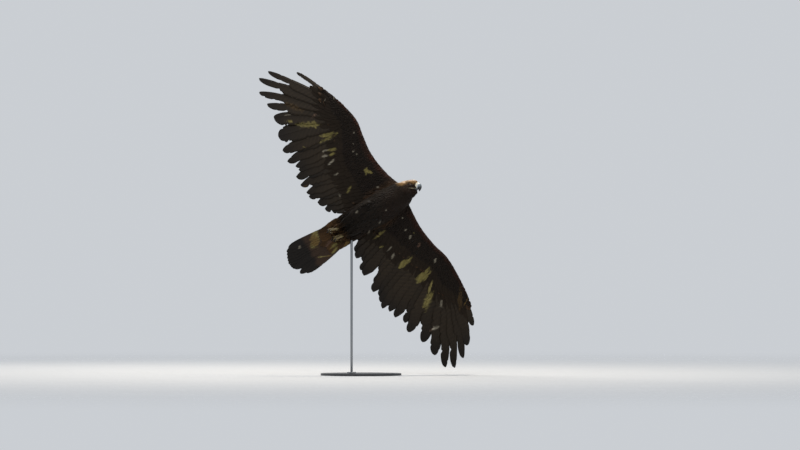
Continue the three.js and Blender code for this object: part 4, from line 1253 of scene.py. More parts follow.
def tail_coverts():
    """The soft rows over the roots of the tail, on both faces, as one piece."""
    random = np.random.default_rng(502)
    made, shades = [], []
    web = covert_share(COVERT_T)
    for row in TAIL_COVERT_ROWS:
        for side in SIDES.values():
            i = np.arange(row["count"])
            root = np.stack([2 + i * row["spread"] * 0.9, np.full(len(i), float(row["start"]))], -1)
            ends = row["end"] + 5 * i + random.uniform(-10, 10, len(i))
            tip = np.stack([3 + i * row["spread"], ends], -1)
            lift = row["face"] * (row["height"] - 3 * COVERT_T)[None] - (i * 1.0)[:, None]
            made.append(facing(side, sheet_vanes(
                place_on_tail(side, 2), root, tip, 2.0, row["half"] * web, row["half"] * 1.1 * web, lift,
                0.06, 0.7, COVERT_THICK, COVERT_T)))
            shades.append(np.full(len(i), float(row["face"] < 0)))
    points, ruler = stacked(made)
    below = np.broadcast_to(np.concatenate(shades)[:, None, None, None, None], points.shape).reshape(-1, 3)
    own = random.uniform(0.6, 1.3, (len(points), 1, 1, 1, 1))
    soft = (mix(TONES["rump"], TONES["undertail"], below).reshape(points.shape) * own).reshape(-1, 3)
    marked = painted(soft, points.reshape(-1, 3), feather_middles(points), TAIL_STROKES)
    return blade_piece("tail_coverts", points, ruler, mix(soft, marked, below), CONTOUR_KERATIN, "plumage")


for piece in (tail_piece(), tail_coverts()):
    print(piece.name, 2 * len(piece.data.polygons), "triangles")

# %% [markdown]
# ## The coat of small feathers
# Everything else is covered by contour feathers: a few millimetres long about the eye, narrow and pointed on
# the nape, three or four centimetres on the breast. Roots are scattered over the skin at random and thinned
# out until none is much closer to the next than its spacing, because real feathers are spaced evenly but not
# in a grid. Each feather leaves its root along the lie of the coat and bends until its tip is close to the
# skin again.

# %% Scatter the roots
DRAWN_FOR_ONE = 3.2  # roots drawn for each one that there is room for
KEPT_GAP = 0.93  # no root is closer to the next than this share of the spacing


def scattered(points, faces, spacing_at, keep_at, seed):
    """Roots on a surface. Faces are drawn in proportion to their area over the square of the local spacing,
    a random point is taken in each, and points too close to one already kept are dropped."""
    random = np.random.default_rng(seed)
    rows = np.concatenate([faces[:, [0, 1, 2]], faces[:, [0, 2, 3]]])
    a, b, c = (points[rows[:, i]] for i in range(3))
    middle = (a + b + c) / 3
    area = np.linalg.norm(np.cross(b - a, c - a), axis=1) / 2
    weight = area * keep_at(middle) / spacing_at(middle) ** 2
    count = int(DRAWN_FOR_ONE * weight.sum())
    pick = random.choice(len(rows), count, p=weight / weight.sum())
    u, v = random.random(count), random.random(count)
    over = u + v > 1
    u[over], v[over] = 1 - u[over], 1 - v[over]
    spots = a[pick] + u[:, None] * (b - a)[pick] + v[:, None] * (c - a)[pick]
    gaps = spacing_at(spots) * KEPT_GAP
    tree = KDTree(count)
    for i, spot in enumerate(spots):
        tree.insert(spot, i)
    tree.balance()
    kept, dropped = [], np.zeros(count, bool)
    for i in range(count):
        if dropped[i]:
            continue
        kept.append(i)
        for _, j, _ in tree.find_range(spots[i], gaps[i]):
            dropped[j] = True
    return spots[kept]


print("draws for one root:", DRAWN_FOR_ONE)

# %% [markdown]
# ## How long, and where
# The length of a feather follows from where it grows, and the spacing of the roots from its length, so that
# every place is covered several feathers deep. No feather grows on the lids, the lips and the bill.

# %% Length, spacing and bare places
COAT_GAP, WIDEST_GAP = 0.245, 9.4  # mean gap between roots: a share of the length, and the most in mm
REAR_EDGE = 0.94  # share of an arm's width past which only coverts cover it
BARE_EYE = (12.2, 8.4)  # half length and half height of the bare oval about an eye, which the lids fill
CERE_EDGE, LIP_BAND = 34.5, 2.2  # x of the cere's rear edge, and how far the lips reach above and below


def arm_share(points):
    """How far back a place lies on its arm: 0 at the front edge and 1 at the rear edge."""
    share = np.zeros(len(points))
    for wing, here, _ in each_wing(points):
        share[here] = share_of_arm(wing, points[here], 12)
    return share


def feather_size(points):
    """Length of the feathers in mm: 5 at the bill, 9 on the crown, 30 on the nape, 38 on the breast and
    belly, and on the arm from 15 at the front edge to 38 at the rear."""
    head = to_head(points)
    on_head = np.interp(-head[:, 0], [-36, -20, 0, 30, 62, 110], [4.4, 5.5, 8.5, 16, 30, 38])
    body = mix(38.0, 46.0, ease(-60, -190, points[:, 0]))
    length = np.where(head[:, 0] > -110, np.minimum(on_head, body), body)
    arm = np.interp(arm_share(points), [0, 0.12, 0.5, 0.9], [15, 21, 32, 38])
    beside = np.abs(points[:, 1])
    shoulder = ease(52, 72, beside) * ease(110, 150, points[:, 0])
    return mix(length, arm, np.maximum(ease(95, 135, beside), shoulder))


def coat_spacing(points):
    """Mean gap between roots in mm."""
    return np.minimum(feather_size(points) * COAT_GAP, WIDEST_GAP)


def in_tube(points, table, grow, ends):
    """True inside the tube of a table's rows grown by grow, between its ends: the sum of the two squared
    shares of the half width and of the height or depth there is below one."""
    rows = table(points[:, 0])
    middle = rows[:, 0] if rows.shape[1] == 4 else 0.0
    reach = np.maximum(np.where(points[:, 2] > 0, rows[:, -2], rows[:, -1]) + grow, 1)
    across = (points[:, 1] - middle) / np.maximum(rows[:, -3] + grow, 1)
    inside = across ** 2 + (points[:, 2] / reach) ** 2 < 1
    return inside & (points[:, 0] > ends[0]) & (points[:, 0] < ends[1])


def gape_line(x):
    """Height of the closed mouth in the head's frame: it drops a little from the bill back."""
    return -17.6 - 0.09 * (28 - x)


def keep_on_body(points):
    """Where the body's skin grows feathers: everywhere but under the head's own skin and on the thin rear
    edge of the arms, which the coverts roof over."""
    under_head = in_tube(to_head(points), SKULL, -HEAD_COAT - 0.4, (-40, 36))
    rear_edge = (arm_share(points) > REAR_EDGE) & (np.abs(points[:, 1]) > 130)
    return np.where(under_head | rear_edge, 0.0, 1.0)


def keep_on_head(points):
    """Where the head's skin grows feathers: not on the lids, the bill, the cere or the lips, and not where it
    is buried in the neck."""
    head = to_head(points)
    from_eye = (head[:, [0, 2]] - EYE_AT[[0, 2]] - [2, 0]) / BARE_EYE
    bare = (np.hypot(*from_eye.T) < 1) | ((head[:, 0] > CERE_EDGE) & (head[:, 2] > -22))
    lips = (head[:, 0] > 0) & (np.abs(head[:, 2] - gape_line(head[:, 0])) < LIP_BAND)
    buried = in_tube(points, TRUNK, -BODY_COAT - 3, TRUNK_ENDS) | (head[:, 0] < -60)
    return np.where(bare | lips | buried, 0.0, 1.0)


body_roots = scattered(body_skin[0], body_skin[1][0], coat_spacing, keep_on_body, 601)
head_roots = scattered(head_skin[0], head_skin[1][0], coat_spacing, keep_on_head, 602)
print("roots:", len(body_roots), "on the body and arms,", len(head_roots), "on the head")

# %% [markdown]
# ## Which way the feathers lie
# Feathers lie back from the bill over the head, turn with the neck, and run towards the tail on the body. On
# the arm they swing out with the flight feathers. On the legs they point to the feet.

# %% The lie of the coat
def lie_of_coat(points):
    """A way for each place: the body's rearward way, turned on the head into the head's own rearward way,
    and on the arm into the way of the flight feathers there."""
    random = np.random.default_rng(603)
    rear = np.tile([-1.0, 0, 0], (len(points), 1))
    rear[:, 1] = 0.18 * np.sign(points[:, 1]) * ease(60, 90, np.abs(points[:, 1]))
    head = to_head(points)
    head_rear = -HEAD_AXES[0] - 0.25 * HEAD_AXES[2] * ease(0, -30, head[:, 2])[:, None]
    way = mix(rear, head_rear, (ease(-95, -35, head[:, 0]) * ease(215, 245, points[:, 0]))[:, None])
    for wing, here, out in each_wing(points):
        aim = feather_aim(wing, out)
        arm = np.stack([aim[:, 1], wing["side"] * aim[:, 0], wing["rise"] * aim[:, 0]], -1)
        way[here] = mix(way[here], arm, ease(90, 150, out)[:, None])
    return unit(way + random.normal(scale=0.09, size=way.shape))


print("way at the middle of the breast:", lie_of_coat(np.array([[60.0, 0, -100]])).round(2))

# %% [markdown]
# ## One small feather, many thousand times
# A contour feather is a shallow roof with a round or pointed end. Its tip is laid down on the skin again, so
# that the coat stays smooth, and each one differs a little in length, bend and edge.

# %% The shape of a contour feather
# A contour feather has seven stations, and at each an edge, a raised middle, the other edge and an underside
COAT_T = np.array([0, 0.2, 0.42, 0.62, 0.78, 0.91, 1])
ROUND_END = np.array([0.4, 0.78, 1, 0.98, 0.84, 0.55, 0.12])
POINTED_END = np.array([0.5, 0.95, 1, 0.8, 0.55, 0.28, 0.04])


def nearest_on_skin(points):
    """The closest place on the skin to each point, and the skin's normal there."""
    found = [skin_tree.find_nearest(p) for p in points.tolist()]
    return np.array([f[0][:] for f in found]), np.array([f[1][:] for f in found])


def feather_batch(roots, seed):
    """All the points of the feathers on these roots. The middle line is root + way * length * t, pulled along
    the root's normal by the square of t until the tip is a little over the skin, with a slight arch. The
    edges hang lower than the middle and are ragged, and the last side of the section is the underside."""
    random = np.random.default_rng(seed)
    on_skin, normals = nearest_on_skin(roots)
    way = lie_of_coat(roots)
    way = unit(way - (way * normals).sum(-1, keepdims=True) * normals)
    side = np.cross(normals, way)
    length = feather_size(roots) * random.uniform(0.85, 1.18, len(roots))
    head = to_head(roots)
    pointed = ease(-12, -40, head[:, 0]) * ease(-170, -125, head[:, 0]) * ease(-42, -20, head[:, 2])
    pointed = np.maximum(pointed, 0.35)
    half = length * mix(0.3, 0.19, pointed)
    free_tip = on_skin + way * length[:, None]
    below, below_normal = nearest_on_skin(free_tip)
    stand = np.clip(length * 0.06, 0.7, 2.4) * random.uniform(0.6, 1.5, len(roots))
    pull = ((below + below_normal * stand[:, None] - free_tip) * normals).sum(-1)
    pull = np.clip(pull, -0.5 * length, mix(0.3, 0.45, ease(-120, -80, head[:, 0])) * length)
    t = COAT_T[None, :, None]
    arch = (0.04 * length)[:, None, None] * 4 * t * (1 - t)
    bow = (random.normal(scale=0.05, size=len(roots)) * length)[:, None, None] * t * t
    line = on_skin[:, None] + (way * length[:, None])[:, None] * t + side[:, None] * bow
    line = line + normals[:, None] * (pull[:, None, None] * t * t + arch - 0.8 * (1 - t))
    profile = mix(ROUND_END, POINTED_END, pointed[:, None]) * half[:, None]
    ragged = 1 + random.uniform(-1, 1, (2, *profile.shape)) * mix(0.02, 0.2, COAT_T ** 2)
    thick = mix(0.5, 0.15, t) * np.clip(length / 30, 0.35, 1)[:, None, None]
    out, up = side[:, None] * profile[..., None], normals[:, None]
    hang = up * (profile * 0.17)[..., None]
    ring = [line + out * ragged[0][..., None] - hang, line + up * thick / 2,
            line - out * ragged[1][..., None] - hang, line - up * thick / 2]
    across = np.stack([profile, 0 * profile, -profile, 0 * profile], -1)
    along = np.broadcast_to((COAT_T * length[:, None])[..., None], across.shape)
    return np.stack(ring, 2), np.stack([across, along], -1) / 100, normals


def coat_faces(count):
    """Faces of count feathers: four sides between each two stations, and a cap at both ends."""
    stations = len(COAT_T)
    i, j = np.meshgrid(np.arange(stations - 1), np.arange(4), indexing="ij")
    a, b = i * 4 + j, i * 4 + (j + 1) % 4
    walls = np.stack([a, b, b + 4, a + 4], -1).reshape(-1, 4)
    last = (stations - 1) * 4
    caps = np.array([[3, 2, 1, 0], [last, last + 1, last + 2, last + 3]])
    faces = np.concatenate([walls, caps])
    return [(faces + np.arange(count)[:, None, None] * stations * 4).reshape(-1, 4)]


print("faces of a small feather:", sum(len(rows) for rows in coat_faces(1)))

# %% [markdown]
# ## The coat in four pieces
# The coat is made as four pieces, for the trunk, the two arms and the head, because one mesh of all its
# feathers would be too heavy. For baking, each feather takes a small patch of the map, where its root lies on
# the skin laid flat.

# %% Maps and pieces of the coat
PATCH = 0.003  # width of one feather's place on the map
ARM_FROM = 100  # mm out, where the coat of the trunk ends and that of an arm begins


def unwrapped(roots, normals, kind):
    """Each root's place on the skin laid flat. The trunk is slit along the back and unrolled about x, the
    head about its own ahead line, and an arm is split along its edges into its lower and upper face, each
    720 mm long and 320 mm wide."""
    if kind == "arm":
        u = (np.abs(roots[:, 1]) - 60) / 720
        v = (roots[:, 0] + 60) / 320 * 0.48
        return np.stack([u, v + np.where(normals[:, 2] > 0, 0.51, 0.01)], -1)
    spots = to_head(roots) if kind == "head" else roots
    turn = np.arctan2(spots[:, 1], -spots[:, 2]) / (2 * math.pi) + 0.5
    low, high = (-110, 40) if kind == "head" else (-240, 262)
    return np.stack([turn, (spots[:, 0] - low) / (high - low)], -1)


def coat_piece(name, roots, kind, seed, slot):
    """One piece of the coat, with the colours of the places its feathers grow from. A feather is darker at
    its root, as painted shade under the feathers that lie over it, and paler at its tip. Its underside is a
    little darker, as painted shade."""
    points, ruler, normals = feather_batch(roots, seed)
    random = np.random.default_rng(seed + 1)
    count, stations = points.shape[:2]
    centre, under = points[:, 3, 1], faces_down(normals)
    flat = points.reshape(-1, 3)
    own = random.uniform(0.78, 1.24, (count, 1))
    # painted shade: each feather darker towards its root, under the feathers above it, and darker on its
    # underside
    shade = mix(0.66, 1.16, COAT_T)[None, :, None, None]
    edge = np.array([1.06, 0.95, 1.06, 0.9])[None, None, :, None]
    tones = ((plumage(centre, under) * own)[:, None, None] * shade * edge).reshape(-1, 3)
    tones = spotted(tones, flat, np.repeat(centre, stations * 4, 0), np.repeat(under, stations * 4))
    place = unwrapped(roots, normals, kind)[:, None, None]
    spread = np.stack(np.broadcast_arrays(
        np.array([0.5, 0, -0.5, 0.1])[None, None], (COAT_T - 0.5)[None, :, None]), -1)
    bake = np.clip(0.004 + place * 0.992, 0.002, 0.998) + spread * PATCH
    maps = {"Vane": ruler.reshape(-1, 2), "OFBake": np.broadcast_to(bake, ruler.shape).reshape(-1, 2)}
    piece = make_object(name, flat, outward(flat, coat_faces(count)), maps, tones)
    return finished(piece, CONTOUR_KERATIN, slot)


on_left, on_right = body_roots[:, 1] > ARM_FROM, body_roots[:, 1] < -ARM_FROM
for title, roots, kind, seed, slot in [
    ("coat_body", body_roots[~on_left & ~on_right], "trunk", 611, "plumage"),
    ("coat_arm_left", body_roots[on_left], "arm", 613, "plumage"),
    ("coat_arm_right", body_roots[on_right], "arm", 615, "plumage"),
    ("coat_head", head_roots, "head", 617, "nape"),
]:
    piece = coat_piece(title, roots, kind, seed, slot)
    print(title, len(roots), "feathers,", 2 * len(piece.data.polygons), "triangles")

# %% [markdown]
# ## Bill and cere
# An eagle's bill is a bony core in a sheath of horn, blue-grey at its base and black at the hook. Behind it
# lies the cere, a pad of waxy yellow skin with the nostrils. Here the cere and the base of the bill are
# painted near white, a painted highlight over their yellow and blue-grey. Both are lengths of one bent tube,
# drawn in to a ridge along the top. Horn takes a polish, so it has a clear coat over its fine grain.

# %% The bill's tube and its horn
BILL_KNOTS = [[20, 0, 3], [37, 0, 4], [49, 0, 2], [56, 0, -6], [57, 0, -18], [54, 0, -31]]
BILL_SIZE = through([
    [0, 16, 19], [0.3, 12.5, 17], [0.52, 8.5, 12.5], [0.72, 6.2, 9.5], [0.9, 3.4, 5.6], [1, 0.6, 1],
])
LOWER_KNOTS = [[14, 0, -19.5], [32, 0, -17.5], [49, 0, -15]]
LOWER_SIZE = through([[0, 15, 7.5], [0.5, 11, 6.4], [0.85, 7.5, 4.8], [1, 4, 2.2]])
BILL_AROUND = 40  # points to a ring
CERE_SHARE = 0.235  # how far along the bill's tube the cere ends
NOSTRIL_AT = np.array([32.5, 13.0, 8.0])
NOSTRIL_HALF = [3.2, 1.9]  # half its length and half its height


def bill_part(start, end, swell, stations, around):
    """A length of the bill's tube in the head's frame. swell is added to its size, and its section is drawn
    in towards the top, so that the ridge is narrower than the cutting edges."""
    def size(t):
        """Half width and half depth at a share of this length."""
        return np.maximum(BILL_SIZE(mix(start, end, t)) + swell, 0.3)

    return curve_tube(BILL_KNOTS, size, around, 1.22, stations, (start, end))


def closed_piece(name, part, tones, material, slot, *solids, in_room=False):
    """A finished piece from closed points and faces, turned outward, in place of the solids named."""
    points, faces = part
    piece = make_object(name, points, outward(points, faces), tones=tones, in_room=in_room)
    finished(piece, material, slot)
    if solids:
        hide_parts(*solids)
    return piece


def on_head(part):
    """Points and faces in the head's frame, carried over to the bird's."""
    return from_head(part[0]), part[1]


HORN = grained_material("polished_bill_horn", NOISE, {"Scale": 420.0, "Detail": 5.0}, (0.3, 0.7, 0.82, 1.16),
                        (0.25, 0.0003), **{"Roughness": 0.3, "IOR": 1.54, "Coat Weight": 0.35,
                                           "Coat Roughness": 0.18})


def along_rings(part):
    """Share of a sheath's length at each of its points, ring by ring, and at its two ends."""
    stations = len(part[0]) // BILL_AROUND
    return np.r_[np.repeat(np.linspace(0, 1, stations), BILL_AROUND), 0, 1][:, None]


def sheath(name, part, base, hook, low, high):
    """A length of horn, from base to hook between the shares low and high of its length. base holds a linear
    colour for all points, or one a point."""
    tones = mix(base, linear(hook), ease(low, high, along_rings(part)))
    closed_piece(f"bill_sheath_{name}", on_head(part), tones, HORN, "horn", f"bill_{name}")


upper = bill_part(CERE_SHARE + 0.004, 1, 0.0, 44, BILL_AROUND)
# painted highlight: the base of the upper bill starts near white and fades into its own blue-grey
painted_highlight_to_blue_grey = mix(linear("#d8dcdc"), linear("#7a858e"), ease(0.02, 0.3, along_rings(upper)))
sheath("upper", upper, painted_highlight_to_blue_grey, "#151618", 0.2, 0.6)
lower = curve_tube(LOWER_KNOTS, LOWER_SIZE, BILL_AROUND, stations=30, ends=(0.1, 1))
sheath("lower", lower, linear("#6b737b"), "#232427", 0.3, 1)
print("the upper bill is", round(BILL_SIZE(CERE_SHARE)[0] * 2, 1), "mm wide where it meets the cere")

# %% [markdown]
# ## Soft yellow parts
# The cere, the lips and the toes are bare skin with a waxy bloom and fine pits. Light sinks a little into the
# cere, so it has some subsurface. The nostrils are dents in its tube, with painted shade inside.

# %% Cere, nostrils and lips
def waxy_material(name, pit_mm, **surface):
    """Soft skin with pits: cells of pit_mm, lighter and higher at their middles."""
    return grained_material(name, CELLS, {"Scale": 1000 / pit_mm}, (0.0, 0.8, 1.1, 0.8), (0.35, 0.0005, True),
                            **surface)


CERE_SKIN = waxy_material("waxy_cere_skin", 1.4, **{"Roughness": 0.38, "Subsurface Weight": 0.15,
                                                   "Subsurface Radius": (0.004, 0.002, 0.001)})
TOE_SKIN = waxy_material("scaled_toe_skin", 2.4, Roughness=0.48)


def about_nostril(points, side, inner, outer):
    """1 up to inner and 0 past outer, on one side of the bill: both are shares of the nostril's half size."""
    gone = (points - NOSTRIL_AT * [1, side, 1])[:, [0, 2]] / NOSTRIL_HALF
    return ease(outer, inner, np.linalg.norm(gone, axis=1)) * (points[:, 1] * side > 2)


def cere_piece():
    """The rear end of the bill's tube, 0.9 mm fuller than the bill, with its two nostrils."""
    cere, faces = bill_part(0.0, CERE_SHARE, 0.9, 36, 64)
    for side in SIDES.values():
        cere[:, 1] -= side * 4.6 * about_nostril(cere, side, 0.5, 1.25)
    # painted shade: near black inside the dents of the nostrils
    nostril_shade = np.max([about_nostril(cere, side, 0.55, 1.1) for side in SIDES.values()], axis=0)
    # painted highlight: the cere's own yellow is lightened to a pale, nearly white tone
    tones = mix(linear("#f3ead0"), linear("#1a1410"), nostril_shade[:, None])
    return closed_piece("cere_skin", on_head((cere, faces)), tones, CERE_SKIN, "cere", "cere")


def lip_size(thick):
    """Radius of a lip, as one column: it swells over the first third, and tapers with the fourth power."""
    return lambda t: (thick * (0.25 + 0.75 * ease(0, 0.3, t)) * (1 - 0.8 * t ** 4))[:, None]


def gape_lips():
    """The fleshy edge of the mouth, which runs back from inside the bill to below the eye: two lips, and the
    line of the closed mouth between them. Their middle lines are where level lines from the side meet the
    skin."""
    parts = []
    for side in SIDES.values():
        x = np.linspace(30, -1, 9)
        for drop, thick in ((1.2, 1.2), (-1.2, 1.3)):
            line = np.stack([x, 0 * x + side * 70, gape_line(x) + drop], -1)
            hits = [skin_tree.ray_cast(p, -side * HEAD_AXES[1])[0] for p in from_head(line).tolist()]
            knots = np.concatenate([[[38, side * 8.5, -14.5 + drop]], to_head(np.array(hits))])
            lip, faces = curve_tube(knots, lip_size(thick), around=12, stations=40)
            parts.append((lip, outward(lip, faces)))
    return closed_piece("gape_lips", on_head(joined(parts)), linear("#8f866c"), CERE_SKIN, "cere")


print("cere:", len(cere_piece().data.vertices), "points")
print("gape:", len(gape_lips().data.vertices), "points")

# %% [markdown]
# ## Eyes
# An eagle's eye is a ball of which only the front shows, in the shade of a heavy brow. It has a hazel iris
# with radial threads, a round black pupil and a clear wet cornea. One ball carries all of it: the colour is a
# function of the angle from the ball's outer pole, and the wetness is a clear coat over it.

# %% Two eyeballs and their lids
WET_EYE = grained_material("wet_eye", NOISE, {"Scale": 1800.0}, (0.3, 0.7, 0.85, 1.15), **{
    "Roughness": 0.25, "IOR": 1.38, "Coat Weight": 1.0, "Coat Roughness": 0.02})


def eye_piece(side, name, rings=48):
    """A ball of rings about the way it looks. The pupil reaches 18 degrees from the pole and the iris 40."""
    look = EYE_LOOK * [1, side, 1]
    across = unit(np.cross(look, [0, 0, 1.0]))
    angle = np.linspace(0.03, math.pi - 0.03, rings)
    bulge = 1 + 0.035 * ease(0.6, 0.0, angle)
    centres = (np.cos(angle) * bulge)[:, None] * look * EYE_RADIUS + EYE_AT * [1, side, 1]
    radius = np.sin(angle) * EYE_RADIUS
    ways = np.tile(across, (rings, 1)), np.tile(np.cross(across, look), (rings, 1))
    part = oval_tube(centres, *ways, radius, radius, radius, rings)
    degrees = np.r_[np.repeat(np.degrees(angle), rings), 0, 180][:, None]
    turn = np.r_[np.tile(np.arange(rings), rings), 0, 0][:, None]
    threads = 0.82 + 0.3 * np.sin(turn * 2.9 + 2 * np.sin(turn * 1.7)) ** 2
    iris = mix(linear("#744a1a"), linear("#2e1a0a"), ease(24, 40, degrees)) * threads
    tones = mix(linear("#050505"), iris, ease(17, 19.5, degrees))
    tones = mix(tones, linear("#0b0806"), ease(39, 42, degrees))
    return closed_piece(f"eyeball_{name}", on_head(part), tones, WET_EYE, "eye", f"eye_{name}")


for name, side in SIDES.items():
    print("eyeball", name, len(eye_piece(side, name).data.vertices), "points")

lid_rims = joined([lid_ring(side) for side in SIDES.values()])
closed_piece("lids", on_head(lid_rims), linear("#2b241c"), CERE_SKIN, "cere")

# %% [markdown]
# ## Feet
# In flight the feet lie back under the tail. The toes are yellow, with a row of broad scutes along the top of
# each and soft pads below, and every toe ends in a black curved claw. A toe is a tube whose radius swells at
# each scute and each pad.

# %% Toes and claws
ANKLE_X = -212
TOES = [dict(lean=0.08, length=58, start=7), dict(lean=0.0, length=66, start=0),
        dict(lean=-0.08, length=56, start=-7), dict(lean=0.05, length=46, start=1, hind=True)]
TRAIL = -0.2  # both feet trail to the bird's right by this share of their length
TALON_SHARE = 0.56  # how far along a toe's middle line its claw begins
SCUTES, PADS = 11, 2.5


def toe_knots(side, toe):
    """Middle line of a toe with its claw: back from the ankle, aside by its lean, the claw hooked down."""
    y = LEG_MIDDLE[side] + side * (24 + toe["start"])
    z, droop = (-56, -14) if toe.get("hind") else (-46, 5)
    reach, lean = toe["length"], side * toe["lean"] + TRAIL
    rows = ((-4, 0, 0), (reach * 0.4, reach * 0.4, droop), (reach * 0.78, reach * 0.75, droop * 0.4),
            (reach, reach * 0.85, -12), (reach * 1.02, reach * 0.85, -29))
    return [[ANKLE_X - back, y + lean * aside, z + up] for back, aside, up in rows]


def toe_size(t):
    """Half width, pad side and scute side of a toe: each tapers by 1.4 mm. The scutes, on top and at the
    sides, and the pads below are powers of a sine."""
    scute = 0.42 * np.abs(np.sin(t * math.pi * SCUTES)) ** 0.6
    pad = 1.3 * np.abs(np.sin(t * math.pi * PADS)) ** 2
    return np.stack([5.9 - 1.4 * t + scute, 5.4 - 1.4 * t + pad, 5.4 - 1.4 * t + scute], -1)


def claw_size(t):
    """Radius of a claw, as one column: 4.2 mm at its root and 0.3 at its point."""
    return (0.3 + 3.9 * (1 - t) ** 0.8)[:, None]


def foot_piece(side, name):
    """Four toes and the pad under the ankle as one piece, and the four claws as another."""
    toes, claws = [], []
    for toe in TOES:
        knots = toe_knots(side, toe)
        toes.append(curve_tube(knots, toe_size, around=22, stations=90, ends=(0, TALON_SHARE)))
        claws.append(curve_tube(knots, claw_size, around=20, stations=30, ends=(TALON_SHARE - 0.02, 1)))
    toes.append(ball([ANKLE_X - 5, LEG_MIDDLE[side] + side * 24, -49], (12, 12, 10)))
    toes, claws = (joined([(points, outward(points, faces)) for points, faces in made])
                   for made in (toes, claws))
    tones = linear("#6f603b") * (0.9 + 0.1 * ripple(toes[0], 9, 31))[:, None]
    foot = closed_piece(f"toes_{name}", toes, tones, TOE_SKIN, "foot", f"foot_{name}")
    talons = [f"talon_{name}_{i}" for i in (1, 2, 3, 4)]
    closed_piece(f"claws_{name}", claws, linear("#1b1a1c"), HORN, "claw", *talons)
    return foot


for name, side in SIDES.items():
    print("foot", name, 2 * len(foot_piece(side, name).data.polygons), "triangles")

# %% [markdown]
# ## The stand
# The bird is held by a museum's plain stand: a heavy round plate with a dark powder coat, and one steel rod
# in a collar. The plate and the collar are profiles turned about an upright axis, with round edges that catch
# the light.

# %% Plate, collar and rod
BASE_RADIUS, BASE_THICK, ROD_RADIUS = 230.0, 12.0, 7.0
ROD_AT, ROD_TOP = np.array([BODY_MIDDLE[0] - 116, -12.0]), 850.0
COLLAR_RADIUS, COLLAR_THICK, GAP = 26.0, 7.0, 0.35


def rounded(corners, radius, steps=6):
    """A profile of (distance from the axis, height) with every corner but the two ends turned into an arc:
    from radius before the corner to radius after it along a quadratic curve."""
    corners = np.asarray(corners, float)
    made = [corners[:1]]
    t = np.linspace(0, 1, steps)[:, None]
    for before, corner, after in zip(corners[:-2], corners[1:-1], corners[2:]):
        a, b = corner + unit(before - corner) * radius, corner + unit(after - corner) * radius
        made.append((1 - t) ** 2 * a + 2 * t * (1 - t) * corner + t * t * b)
    return np.concatenate([*made, corners[-1:]])


def turned(profile, centre, around):
    """A profile carried round an upright axis, in metres: radius times cosine and sine of the angle."""
    angle = np.linspace(0, 2 * math.pi, around, endpoint=False)
    across = profile[:, :1, None] * np.stack([np.cos(angle), np.sin(angle)])[None]
    x, y = across[:, 0] + centre[0], across[:, 1] + centre[1]
    z = np.broadcast_to(profile[:, 1:], x.shape)
    points = np.stack([x, y, z], -1).reshape(-1, 3) / 1000
    ends = np.array([[*centre, profile[0, 1]], [*centre, profile[-1, 1]]]) / 1000
    return np.concatenate([points, ends]), tube_faces(len(profile), around)


def metal_material(name, colour, speck_mm, grain, **surface):
    """Painted or drawn metal: one colour, made uneven by specks of speck_mm that grain stretches upright."""
    material, tree, shader = new_material(name, **surface)
    stretch = {"Vector": place_in_room(tree), "Scale": (1, 1, 1 / grain)}
    where = add(tree, "ShaderNodeMapping", stretch).outputs[0]
    specks = add(tree, NOISE, {"Vector": where, "Scale": 1000 / speck_mm, "Detail": 3.0}).outputs[0]
    between(tree, shader, specks, linear(colour) * 0.82, linear(colour) * 1.2)
    dull = rescaled(tree, specks, 0.3, 0.7, surface["Roughness"] - 0.06, surface["Roughness"] + 0.08)
    tree.links.new(dull, shader.inputs["Roughness"])
    raised(tree, shader, specks, 0.2, 0.0003)
    return material


POWDER_COAT = metal_material("black_powder_coat", "#2c2d30", 1.2, 1.0, Roughness=0.5)
SATIN_STEEL = metal_material("satin_drawn_steel", "#8c8f92", 0.8, 30.0, Roughness=0.32, Metallic=1.0)


def upright(inner, outer, low, high, edge):
    """The profile of a plate, ring or rod: from inner to outer, between two heights, its outer edges and
    corners rounded by edge."""
    return rounded([[inner, low], [outer, low], [outer, high], [inner, high]], edge)


plate_top = BASE_THICK + GAP
for title, profile, centre, around, material in (
    ("base", upright(0.01, BASE_RADIUS, 0, BASE_THICK, 3), np.zeros(2), 128, POWDER_COAT),
    ("collar", upright(ROD_RADIUS + GAP, COLLAR_RADIUS, plate_top, plate_top + COLLAR_THICK, 2), ROD_AT, 64,
     SATIN_STEEL),
    ("rod", upright(0.01, ROD_RADIUS, plate_top, ROD_TOP, 0.8), ROD_AT, 48, SATIN_STEEL),
):
    part = turned(profile, centre, around)
    name, slot = ("plate", "stand_base") if title == "base" else (title, "stand_rod")
    closed_piece(name, part, None, material, slot, f"stand_{title}", in_room=True)
    print(name, "from", part[0][:, 2].min().round(4), "to", part[0][:, 2].max().round(4))

# %% [markdown]
# ## Floor, light and camera
# A pale floor whose colour melts into the backdrop keeps the eye on the bird. The camera stands far away with
# a long lens, as a bird in the sky is photographed, so that near and far wing keep their true sizes.

# %% The studio
VIEW_MIDDLE = (0.222, 0.857)  # the room's x and height at the middle of the picture, in metres
VIEW_WIDTH = 4.56  # metres across the picture at the bird
CAMERA_AWAY = 40.0
SENSOR = 36.0
BACKDROP, BACKDROP_LIGHT = "#cfd3d8", 0.95
FLOOR_FADE = (1.2, 8.0)  # metres from the middle, where the floor starts and ends to turn see-through
# Soft boxes: name, place and aim in metres, width in metres, watts and tint
LIGHTS = [
    ("key", (0.5, 0.7, 4.3), (0.1, 0, 1.0), 1.4, 90, "#fff3e2"),
    ("front", (-1.2, -3.0, 4.4), (0.1, 0, 0.9), 2.0, 26, "#fff6ea"),
    ("back", (-2.2, 3.0, 3.2), (0.1, 0, 1.0), 1.8, 50, "#fff6ea"),
]


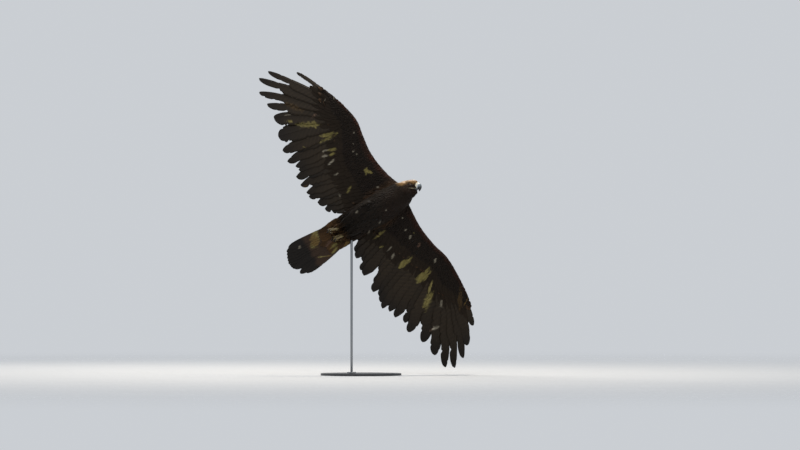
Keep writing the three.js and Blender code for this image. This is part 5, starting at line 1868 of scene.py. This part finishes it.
def studio_floor():
    """A disc that turns see-through over FLOOR_FADE, where the backdrop takes over."""
    around, radii = 96, np.array([0.0, 2, 5, 9, 14, 22, 26])
    angle = np.linspace(0, 2 * math.pi, around, endpoint=False)
    rings = radii[1:, None, None] * np.stack([np.cos(angle), np.sin(angle), 0 * angle], -1)[None]
    points = np.concatenate([rings.reshape(-1, 3), np.zeros((1, 3))])
    walls = tube_faces(len(radii) - 1, around)[0]
    k = np.arange(around)
    hub = np.stack([np.full(around, len(points) - 1), k, (k + 1) % around], -1)
    floor = make_object("floor", points, [walls[:, ::-1], hub], in_room=True)
    material, tree, shader = new_material("matt_floor", Roughness=0.9)
    where = place_in_room(tree)
    away = add(tree, "ShaderNodeVectorMath", {0: where}, operation="LENGTH").outputs["Value"]
    fade = rescaled(tree, away, *FLOOR_FADE, 1.0, 0.0, interpolation_type="SMOOTHSTEP")
    mottle = add(tree, NOISE, {"Vector": where, "Scale": 3.0}).outputs[0]
    between(tree, shader, mottle, linear("#d6d8da"), linear("#dcdee0"))
    tree.links.new(fade, shader.inputs["Alpha"])
    floor.data.materials.append(material)
    floor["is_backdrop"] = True


def soft_light(name, place, aim, size, power, colour):
    """A square soft box at place, turned to shine at aim."""
    data = bpy.data.lights.new(name, "AREA")
    data.size, data.energy, data.color = size, power, linear(colour)
    lamp = bpy.data.objects.new(name, data)
    lamp.location = place
    lamp.rotation_euler = (Vector(aim) - Vector(place)).to_track_quat("-Z", "Y").to_euler()
    bpy.context.scene.collection.objects.link(lamp)


def studio_camera():
    """A camera that looks straight along +Y from CAMERA_AWAY metres, with the lens that frames VIEW_WIDTH."""
    data = bpy.data.cameras.new("camera")
    data.sensor_width = SENSOR
    data.lens = SENSOR * CAMERA_AWAY / VIEW_WIDTH
    data.clip_end = 200
    camera = bpy.data.objects.new("camera", data)
    camera.location = (VIEW_MIDDLE[0], -CAMERA_AWAY, VIEW_MIDDLE[1])
    camera.rotation_euler = (math.pi / 2, 0, 0)
    bpy.context.scene.collection.objects.link(camera)
    bpy.context.scene.camera = camera


studio_floor()
for light in LIGHTS:
    soft_light(*light)
studio_camera()
bpy.context.scene.view_settings.view_transform = "Standard"

world = bpy.data.worlds.new("studio")
bpy.context.scene.world = world
world.use_nodes = True
backdrop = world.node_tree.nodes["Background"].inputs
backdrop["Color"].default_value = (*linear(BACKDROP), 1)
backdrop["Strength"].default_value = BACKDROP_LIGHT
print("lens:", round(bpy.context.scene.camera.data.lens), "mm, lights:", [light[0] for light in LIGHTS])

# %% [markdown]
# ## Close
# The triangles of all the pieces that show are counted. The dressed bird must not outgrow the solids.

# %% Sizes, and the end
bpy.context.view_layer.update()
total = sum(len(p.vertices) - 2 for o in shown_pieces() if o.type == "MESH" for p in o.data.polygons)
print("triangles in all:", total)
